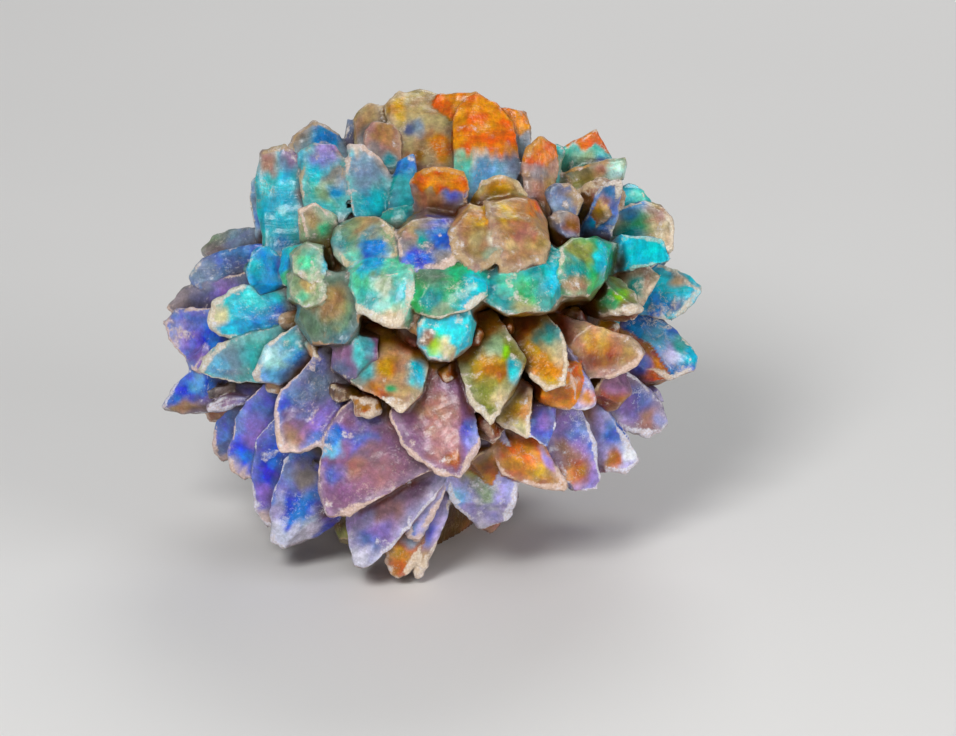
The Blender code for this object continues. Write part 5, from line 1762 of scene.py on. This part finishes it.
@dataclass
class GapRow(CrystalRow):
    """Small crystals that grew in the gaps between the large ones, round the heart."""

    directions: int = 900
    seed: int = 23
    smallest_gap: float = 6.0
    closest_degrees: float = 8.0
    lowest_tip: float = 8.0
    neighbours: int = 4
    widths: tuple[float, float] = (5.0, 9.0)
    flatness: tuple[float, float] = (0.6, 0.95)
    filled: tuple[float, float] = (0.2, 0.5)

    def ways(self) -> np.ndarray:
        """Spreads directions evenly over a sphere.

        Returns:
            The directions, one in each row.
        """
        heights = 1 - 2 * (np.arange(self.directions) + 0.5) / self.directions
        rings, angles = np.sqrt(1 - heights ** 2), np.arange(self.directions) * GOLDEN_TURN
        return np.stack([rings * np.cos(angles), rings * np.sin(angles), heights], 1)

    @staticmethod
    def surface(ways: np.ndarray, grown: list[Crystal]) -> np.ndarray:
        """Finds where the stone ends in each direction.

        Args:
            ways: Directions, one in each row.
            grown: The crystals that are there.

        Returns:
            The distances from the growth centre.
        """
        reaches = np.arange(60.0, 24.0, -0.75)
        places = np.array(growth_centre()) + ways[:, None, :] * reaches[None, :, None]
        places = places.reshape(-1, 3)
        solid = (((places - np.array(growth_centre())) / np.array(CORE_RADII)) ** 2).sum(1) < 1.0
        for crystal in grown:
            index = crystal.near(places, 0.0)
            solid[index] |= crystal.outside(places[index]) < 0.0
        return reaches[solid.reshape(len(ways), -1).argmax(1)]

    def grow(self, grown: list[Crystal]) -> None:
        """Finds the deepest gaps, and carves a small crystal in each.

        Args:
            grown: The crystals of the rows before it, whose gaps are filled.
        """
        chance, ways = random.Random(self.seed), self.ways()
        ends = np.array([crystal.end for crystal in grown]) - np.array(growth_centre())
        reach = np.linalg.norm(ends, axis=1)
        nearest = np.argsort(-(ways @ (ends / reach[:, None]).T), axis=1)[:, :self.neighbours]
        around = reach[nearest].mean(1)
        surface = self.surface(ways, grown)
        gaps = around - surface
        bare = (((ways * surface[:, None]) / np.array(CORE_RADII)) ** 2).sum(1) < 1.25
        taken: list[np.ndarray] = []
        for at in np.argsort(-gaps):
            way = ways[at]
            crowded = any(way @ other > math.cos(math.radians(self.closest_degrees)) for other in taken)
            if gaps[at] < self.smallest_gap or crowded or not bare[at]:
                continue
            taken.append(way)
            host = grown[nearest[at][0]]
            length = surface[at] + chance.uniform(*self.filled) * gaps[at]
            tip = growth_centre() + Vector(way) * min(length, 0.9 * around[at])
            aim = (Vector(way) + scattered(0.3, chance)).normalized()
            root = growth_centre() + aim * BACK_ROOT_DISTANCE
            if tip.z < self.lowest_tip:
                continue
            width = chance.uniform(*self.widths)
            habit = chance.choice((Habit.SPEAR, Habit.BLADE, Habit.PYRAMID, Habit.CHISEL, Habit.BLUNT))
            block = carve_spear(width, width * chance.uniform(*self.flatness), (tip - root).length,
                                habit.value, chance.uniform(-0.5, 0.5), chance)
            turn = chance.uniform(-40, 40)
            place = Matrix.Translation(tip) @ axes_of(tip, root, Vector((0.0, 0.0, 1.0)), turn)
            basis = (Vector(host.basis[0]), Vector(host.basis[1]))
            # Painted shade: small crystals deep in the gaps take their host's shade hue as their body
            # colour.
            finish = replace(host.finish, body=host.finish.under, glows=host.finish.glows[:1], cap=None)
            name = f"small_{len(self.crystals)}"
            self.crystals.append(Crystal(name, block, place, Vector(host.tip), finish, basis))


class Sheet:
    """A node tree, with short ways to add nodes and join them."""

    def __init__(self, tree: bpy.types.NodeTree) -> None:
        """Wraps a node tree."""
        self.tree = tree

    def add(self, kind: str, inputs: dict | None = None, **settings: object) -> bpy.types.Node:
        """Adds a node.

        Args:
            kind: The node's type, without the ShaderNode in front.
            inputs: Values or sockets for its inputs, by name or number.
            settings: Values for its properties.

        Returns:
            The node.
        """
        node = self.tree.nodes.new("ShaderNode" + kind)
        for name, value in settings.items():
            setattr(node, name, value)
        for name, value in (inputs or {}).items():
            self.feed(node.inputs[name], value)
        return node

    def feed(self, socket: bpy.types.NodeSocket, value: object) -> None:
        """Sets an input, or links an output to it.

        Args:
            socket: The input.
            value: A number, a colour, a hue or an output.
        """
        if isinstance(value, bpy.types.NodeSocket):
            self.tree.links.new(value, socket)
        elif isinstance(value, Hue):
            socket.default_value = (*value.linear, 1.0)
        else:
            socket.default_value = value

    def math(self, operation: str, *values: object) -> bpy.types.NodeSocket:
        """Works out a number from others."""
        return self.add("Math", dict(enumerate(values)), operation=operation).outputs[0]

    def mix(self, share: object, first: object, second: object) -> bpy.types.NodeSocket:
        """Mixes two colours.

        Args:
            share: How much of the second there is.
            first: The first colour.
            second: The second colour.

        Returns:
            The mixed colour.
        """
        node = self.add("Mix", data_type="RGBA")
        for name, kind, value in (("Factor", "VALUE", share), ("A", "RGBA", first), ("B", "RGBA", second)):
            socket = next(entry for entry in node.inputs if entry.name == name and entry.type == kind)
            self.feed(socket, value)
        return next(entry for entry in node.outputs if entry.type == "RGBA")

    def grade(self, value: object, low: float, high: float, start: float = 0.0,
              end: float = 1.0) -> bpy.types.NodeSocket:
        """Maps a range of values softly on another."""
        inputs = {0: value, 1: low, 2: high, 3: start, 4: end}
        return self.add("MapRange", inputs, interpolation_type="SMOOTHSTEP").outputs[0]

    def noise(self, where: object, scale: float, detail: float = 2.0,
              roughness: float = 0.5) -> bpy.types.NodeSocket:
        """Soft noise, from 0 to 1."""
        inputs = {"Vector": where, "Scale": scale, "Detail": detail, "Roughness": roughness}
        return self.add("TexNoise", inputs).outputs["Fac"]

    def stretched(self, where: object, scale: tuple[float, float, float]) -> bpy.types.NodeSocket:
        """Coordinates scaled along each axis."""
        return self.add("VectorMath", {0: where, 1: scale}, operation="MULTIPLY").outputs[0]

    def attribute(self, name: str, output: str) -> bpy.types.NodeSocket:
        """What the mesh stores for each point under a name."""
        return self.add("Attribute", attribute_name=name).outputs[output]


class Group:
    """A shader node group with named inputs and outputs, built once."""

    name = ""
    inputs: dict[str, tuple[str, object]] = {}
    outputs: dict[str, str] = {}

    @classmethod
    def tree(cls) -> bpy.types.NodeTree:
        """Finds the group's tree, and makes it the first time.

        Returns:
            The tree.
        """
        found = bpy.data.node_groups.get(cls.name)
        if found:
            return found
        tree = bpy.data.node_groups.new(cls.name, "ShaderNodeTree")
        for name, (kind, value) in cls.inputs.items():
            socket = tree.interface.new_socket(name, in_out="INPUT", socket_type="NodeSocket" + kind)
            if value is not None:
                socket.default_value = value
        for name, kind in cls.outputs.items():
            tree.interface.new_socket(name, in_out="OUTPUT", socket_type="NodeSocket" + kind)
        sheet = Sheet(tree)
        given = tree.nodes.new("NodeGroupInput").outputs
        result = tree.nodes.new("NodeGroupOutput")
        for name, value in cls.draw(sheet, given).items():
            sheet.feed(result.inputs[name], value)
        return tree

    @classmethod
    def draw(cls, sheet: Sheet, given: bpy.types.NodeOutputs) -> dict[str, object]:
        """Draws the group's nodes.

        Args:
            sheet: The group's tree.
            given: What comes in at the group's inputs.

        Returns:
            What goes to each output.
        """
        raise NotImplementedError

    @classmethod
    def place(cls, sheet: Sheet, **inputs: object) -> bpy.types.NodeOutputs:
        """Puts the group in a material.

        Args:
            sheet: The material's tree.
            inputs: The material's own values for the group's inputs.

        Returns:
            The group's outputs.
        """
        node = sheet.add("Group", node_tree=cls.tree())
        for name, value in inputs.items():
            sheet.feed(node.inputs[name], value)
        return node.outputs


class GranularCrust(Group):
    """Sugary crust: breaks a soft mask up into grains, with their colour and their height."""

    name = "granular_crust"
    inputs = {"Place": ("Vector", None), "Mask": ("Float", 0.0), "Colour": ("Color", (0.8, 0.7, 0.5, 1.0)),
              "Grain": ("Float", 1500.0)}
    outputs = {"Mask": "Float", "Colour": "Color", "Height": "Float"}

    @classmethod
    def draw(cls, sheet: Sheet, given: bpy.types.NodeOutputs) -> dict[str, object]:
        """Draws Voronoi grains, darker in their gaps, that thin out where the mask fades.

        Args:
            sheet: The group's tree.
            given: What comes in at the group's inputs.

        Returns:
            What goes to each output.
        """
        grains = sheet.add("TexVoronoi", {"Vector": given["Place"], "Scale": given["Grain"]})
        tone = sheet.noise(given["Place"], 620.0, 5.0, 0.75)
        spread = sheet.math("ADD", given["Mask"], sheet.math("MULTIPLY_ADD", tone, 2.2, -1.1))
        mask = sheet.grade(spread, 0.28, 0.82)
        gap = sheet.grade(grains.outputs["Distance"], 0.25, 0.75)
        shade = sheet.mix(sheet.math("MULTIPLY", gap, 0.35), given["Colour"], TAN)
        shade = sheet.mix(sheet.grade(tone, 0.5, 0.78), shade, FROST)
        height = sheet.math("MULTIPLY", mask, sheet.math("SUBTRACT", 1.0, grains.outputs["Distance"]))
        return {"Mask": mask, "Colour": shade, "Height": height}


class PaleSquiggles(Group):
    """Thin pale lines and flecks that wander over a face, in some places only."""

    name = "pale_squiggles"
    inputs = {"Place": ("Vector", None), "Growth": ("Vector", None), "Amount": ("Float", 1.0)}
    outputs = {"Mask": "Float"}

    @classmethod
    def draw(cls, sheet: Sheet, given: bpy.types.NodeOutputs) -> dict[str, object]:
        """Draws the level lines of a noise, broken up, dashes along the growth and a few specks.

        Args:
            sheet: The group's tree.
            given: What comes in at the group's inputs.

        Returns:
            What goes to each output.
        """
        place = given["Place"]
        level = sheet.noise(place, 300.0, 5.0, 0.7)
        line = sheet.grade(sheet.math("ABSOLUTE", sheet.math("SUBTRACT", level, 0.5)), 0.0, 0.03, 1.0, 0.0)
        where = sheet.grade(sheet.noise(place, 120.0, 2.0), 0.58, 0.70)
        broken = sheet.grade(sheet.noise(place, 900.0, 2.0), 0.42, 0.55)
        strokes = sheet.noise(sheet.stretched(given["Growth"], (2.4, 2.4, 0.6)), 1.0, 3.0, 0.6)
        area = sheet.grade(sheet.noise(place, 160.0, 2.0), 0.50, 0.66)
        specks = sheet.grade(sheet.noise(place, 1700.0, 3.0, 0.7), 0.72, 0.80)
        lines = sheet.math("MULTIPLY", sheet.math("MULTIPLY", line, where), broken)
        dashes = sheet.math("MULTIPLY", sheet.grade(strokes, 0.55, 0.68), area)
        marks = sheet.math("MAXIMUM", lines, specks)
        marks = sheet.math("MAXIMUM", marks, sheet.math("MULTIPLY", dashes, 0.55))
        return {"Mask": sheet.math("MULTIPLY", marks, given["Amount"])}


class GrowthLines(Group):
    """Fine lines along and across a crystal, as it grew."""

    name = "growth_lines"
    inputs = {"Growth": ("Vector", None)}
    outputs = {"Height": "Float"}

    @classmethod
    def draw(cls, sheet: Sheet, given: bpy.types.NodeOutputs) -> dict[str, object]:
        """Draws one noise drawn out along the crystal and one across it.

        Args:
            sheet: The group's tree.
            given: What comes in at the group's inputs.

        Returns:
            What goes to each output.
        """
        along = sheet.noise(sheet.stretched(given["Growth"], (2.2, 2.2, 0.16)), 1.0, 3.0, 0.6)
        across = sheet.noise(sheet.stretched(given["Growth"], (0.22, 0.22, 2.6)), 1.0, 2.0, 0.5)
        return {"Height": sheet.math("ADD", along, sheet.math("MULTIPLY", across, 0.7))}


class FireFlicker(Group):
    """Shifts the hue and the strength of the fire from patch to patch."""

    name = "fire_flicker"
    inputs = {"Place": ("Vector", None), "Colour": ("Color", (0.5, 0.5, 0.5, 1.0)),
              "Strength": ("Float", 1.0)}
    outputs = {"Colour": "Color"}

    @classmethod
    def draw(cls, sheet: Sheet, given: bpy.types.NodeOutputs) -> dict[str, object]:
        """Moves hue and value a little by noise, and makes the colour a little stronger.

        Args:
            sheet: The group's tree.
            given: What comes in at the group's inputs.

        Returns:
            What goes to each output.
        """
        hue = sheet.grade(sheet.noise(given["Place"], 300.0, 3.0), 0.3, 0.7, 0.475, 0.525)
        value = sheet.grade(sheet.noise(given["Place"], 800.0, 5.0, 0.7), 0.3, 0.7, 0.74, 1.26)
        inputs = {"Hue": hue, "Saturation": 1.14, "Value": value, "Color": given["Colour"]}
        shifted = sheet.add("HueSaturation", inputs).outputs[0]
        return {"Colour": sheet.mix(given["Strength"], given["Colour"], shifted)}


@dataclass(frozen=True)
class OpalMaterial:
    """Opal with fire in it: glossy milky faces, matt granular crust, and the painted shade of its recesses,
    which comes with the fire colours.
    """

    name: str = "opal_fire"
    face_roughness: float = 0.30
    crust_roughness: float = 0.78
    grain_scale: float = 2000.0
    pit_scale: float = 900.0
    flicker: float = 0.9
    line_shade: float = 0.16
    line_height: float = 0.45
    pit_height: float = 0.70
    crust_height: float = 0.75
    mark_height: float = 0.15
    bump: float = 0.55
    bump_distance: float = 0.0004
    coat: float = 0.25
    coat_roughness: float = 0.18
    refraction: float = 1.45
    milkiness: float = 0.10
    milk_depth: float = 0.0012
    milk_colour: tuple[float, float, float] = (1.0, 0.8, 0.6)

    def make(self) -> bpy.types.Material:
        """Builds the material.

        Returns:
            The material.
        """
        material = bpy.data.materials.new(self.name)
        material.use_nodes = True
        sheet = Sheet(material.node_tree)
        shader = material.node_tree.nodes["Principled BSDF"]
        place = sheet.add("TexCoord").outputs["Object"]
        rim = sheet.attribute("rim_colour", "Color")
        growth = sheet.attribute("growth", "Vector")
        fire = FireFlicker.place(sheet, Place=place, Colour=sheet.attribute("fire", "Color"),
                                 Strength=self.flicker)["Colour"]
        lines = GrowthLines.place(sheet, Growth=growth)["Height"]
        shaded = sheet.mix(self.line_shade, fire, (0.0, 0.0, 0.0, 1.0))
        lined = sheet.mix(sheet.grade(lines, 0.75, 1.15), shaded, fire)
        open_place = sheet.grade(sheet.attribute("recess", "Fac"), 0.62, 0.45)
        pale = PaleSquiggles.place(sheet, Place=place, Growth=growth, Amount=open_place)["Mask"]
        marked = sheet.mix(sheet.math("MULTIPLY", pale, 0.7), lined, rim)
        sugar = GranularCrust.place(sheet, Place=place, Mask=sheet.attribute("crust", "Fac"), Colour=rim,
                                    Grain=self.grain_scale)
        sheet.feed(shader.inputs["Base Color"], sheet.mix(sugar["Mask"], marked, sugar["Colour"]))
        matt = sheet.math("MAXIMUM", sugar["Mask"], sheet.math("MULTIPLY", pale, 0.8))
        rough = sheet.grade(matt, 0.0, 1.0, self.face_roughness, self.crust_roughness)
        sheet.feed(shader.inputs["Roughness"], rough)
        pits = sheet.noise(place, self.pit_scale, 4.0, 0.65)
        height = sheet.math("MULTIPLY", lines, self.line_height)
        for share, relief in ((self.pit_height, pits), (self.crust_height, sugar["Height"]),
                              (self.mark_height, pale)):
            height = sheet.math("ADD", height, sheet.math("MULTIPLY", relief, share))
        bump = sheet.add("Bump", {"Strength": self.bump, "Distance": self.bump_distance, "Height": height})
        sheet.feed(shader.inputs["Normal"], bump.outputs[0])
        for socket, value in (("Coat Weight", self.coat), ("Coat Roughness", self.coat_roughness),
                              ("IOR", self.refraction), ("Subsurface Weight", self.milkiness),
                              ("Subsurface Radius", self.milk_colour),
                              ("Subsurface Scale", self.milk_depth)):
            shader.inputs[socket].default_value = value
        return material


@dataclass(frozen=True)
class FloorMaterial:
    """A plain pale studio floor, matt and very slightly mottled."""

    name: str = "pale_floor"
    pale: tuple[float, float, float, float] = (0.80, 0.79, 0.77, 1.0)
    paler: tuple[float, float, float, float] = (0.84, 0.83, 0.81, 1.0)
    mottle_scale: float = 6.0
    roughness: float = 0.7

    def make(self) -> bpy.types.Material:
        """Builds the material.

        Returns:
            The material.
        """
        material = bpy.data.materials.new(self.name)
        material.use_nodes = True
        sheet = Sheet(material.node_tree)
        shader = material.node_tree.nodes["Principled BSDF"]
        mottle = sheet.noise(sheet.add("TexCoord").outputs["Object"], self.mottle_scale)
        sheet.feed(shader.inputs["Base Color"], sheet.mix(mottle, self.pale, self.paler))
        shader.inputs["Roughness"].default_value = self.roughness
        return material


@dataclass(frozen=True)
class Lamp:
    """A square soft light that faces the specimen: where it stands, its side and its power in watts."""

    name: str
    place: tuple[float, float, float]
    side: float
    power: float


@dataclass
class Studio:
    """The floor, the lights and the camera."""

    floor_side: float = 6.0
    frame_width: float = 0.1912
    camera_distance: float = 1.5
    aim_right: float = 0.0096
    aim_down: float = 0.0072
    sensor: float = 36.0
    sky: tuple[float, float, float, float] = (0.92, 0.94, 1.0, 1.0)
    sky_strength: float = 0.15
    lamps: tuple[Lamp, ...] = (Lamp("key", (-0.26, -0.72, 0.66), 0.30, 6.1),
                               Lamp("fill", (0.72, -0.52, 0.34), 0.50, 2.9),
                               Lamp("front", (0.05, -0.95, 0.10), 0.50, 0.9),
                               Lamp("rim", (0.15, 0.75, 0.65), 0.50, 3.0))

    def build(self) -> None:
        """Sets the whole studio up."""
        self.add_floor()
        for lamp in self.lamps:
            self.add_light(lamp)
        world = bpy.data.worlds.new("soft_studio")
        world.use_nodes = True
        world.node_tree.nodes["Background"].inputs["Color"].default_value = self.sky
        world.node_tree.nodes["Background"].inputs["Strength"].default_value = self.sky_strength
        bpy.context.scene.world = world
        bpy.context.scene.view_settings.view_transform = "Standard"
        self.add_camera()
        LOG.info("studio: %d lights, a floor and a camera", len(self.lamps))

    def add_floor(self) -> None:
        """The floor that the specimen rests on."""
        mesh = bmesh.new()
        bmesh.ops.create_grid(mesh, x_segments=8, y_segments=8, size=self.floor_side / 2)
        data = bpy.data.meshes.new("floor")
        mesh.to_mesh(data)
        mesh.free()
        floor = bpy.data.objects.new("floor", data)
        data.materials.append(FloorMaterial().make())
        bpy.context.scene.collection.objects.link(floor)

    @staticmethod
    def add_light(lamp: Lamp) -> None:
        """Adds a light.

        Args:
            lamp: What it is like.
        """
        data = bpy.data.lights.new(lamp.name, "AREA")
        data.energy = lamp.power
        data.size = lamp.side
        light = bpy.data.objects.new(lamp.name, data)
        light.location = lamp.place
        aim = growth_centre() * MM - Vector(lamp.place)
        light.rotation_euler = aim.to_track_quat("-Z", "Y").to_euler()
        bpy.context.scene.collection.objects.link(light)

    def add_camera(self) -> None:
        """The camera, at the height angle of the photo and aimed to give its framing."""
        data = bpy.data.cameras.new("camera")
        camera = bpy.data.objects.new("camera", data)
        bpy.context.scene.collection.objects.link(camera)
        data.sensor_width = self.sensor
        data.lens = self.sensor * self.camera_distance / self.frame_width
        data.clip_start = 0.01
        right, up, back = Vector((1.0, 0.0, 0.0)), view_up(), view_direction()
        aim = growth_centre() * MM + right * self.aim_right - up * self.aim_down
        place = Matrix.Translation(aim + back * self.camera_distance)
        camera.matrix_world = place @ Matrix((right, up, back)).transposed().to_4x4()
        bpy.context.scene.camera = camera


ROWS = (
    FaceRow("crown_crystals", 0.42, spears=CROWN + UPPER_LEFT),
    FaceRow("belt_crystals", 0.42, spears=BELT + RIGHT_FRINGE),
    FaceRow("middle_crystals", 0.42, spears=LEFT_FRINGE + MIDDLE_RIGHT),
    FaceRow("skirt_crystals", 0.42, spears=LOWER_LEFT + LOWER_FRONT + LOWER_RIGHT),
    BackRow("upper_back_crystals", 0.60, lowest=0.10, highest=1.0),
    BackRow("lower_back_crystals", 0.60, lowest=-1.0, highest=0.10),
    GapRow("small_crystals", 0.60, has_heart=True),
)


def main() -> None:
    """Builds the specimen row by row, then the studio."""
    logging.basicConfig(level=logging.INFO, format="%(name)s: %(message)s")
    grain = Grain(seed=5)
    everything: list[Crystal] = []
    for row in ROWS:
        row.grow(everything)
        everything += row.crystals
    crowding = Crowding(everything)
    material = OpalMaterial().make()
    for row in ROWS:
        row.build(everything, crowding, grain, material)
    Studio().build()


if __name__ == "__main__":
    main()
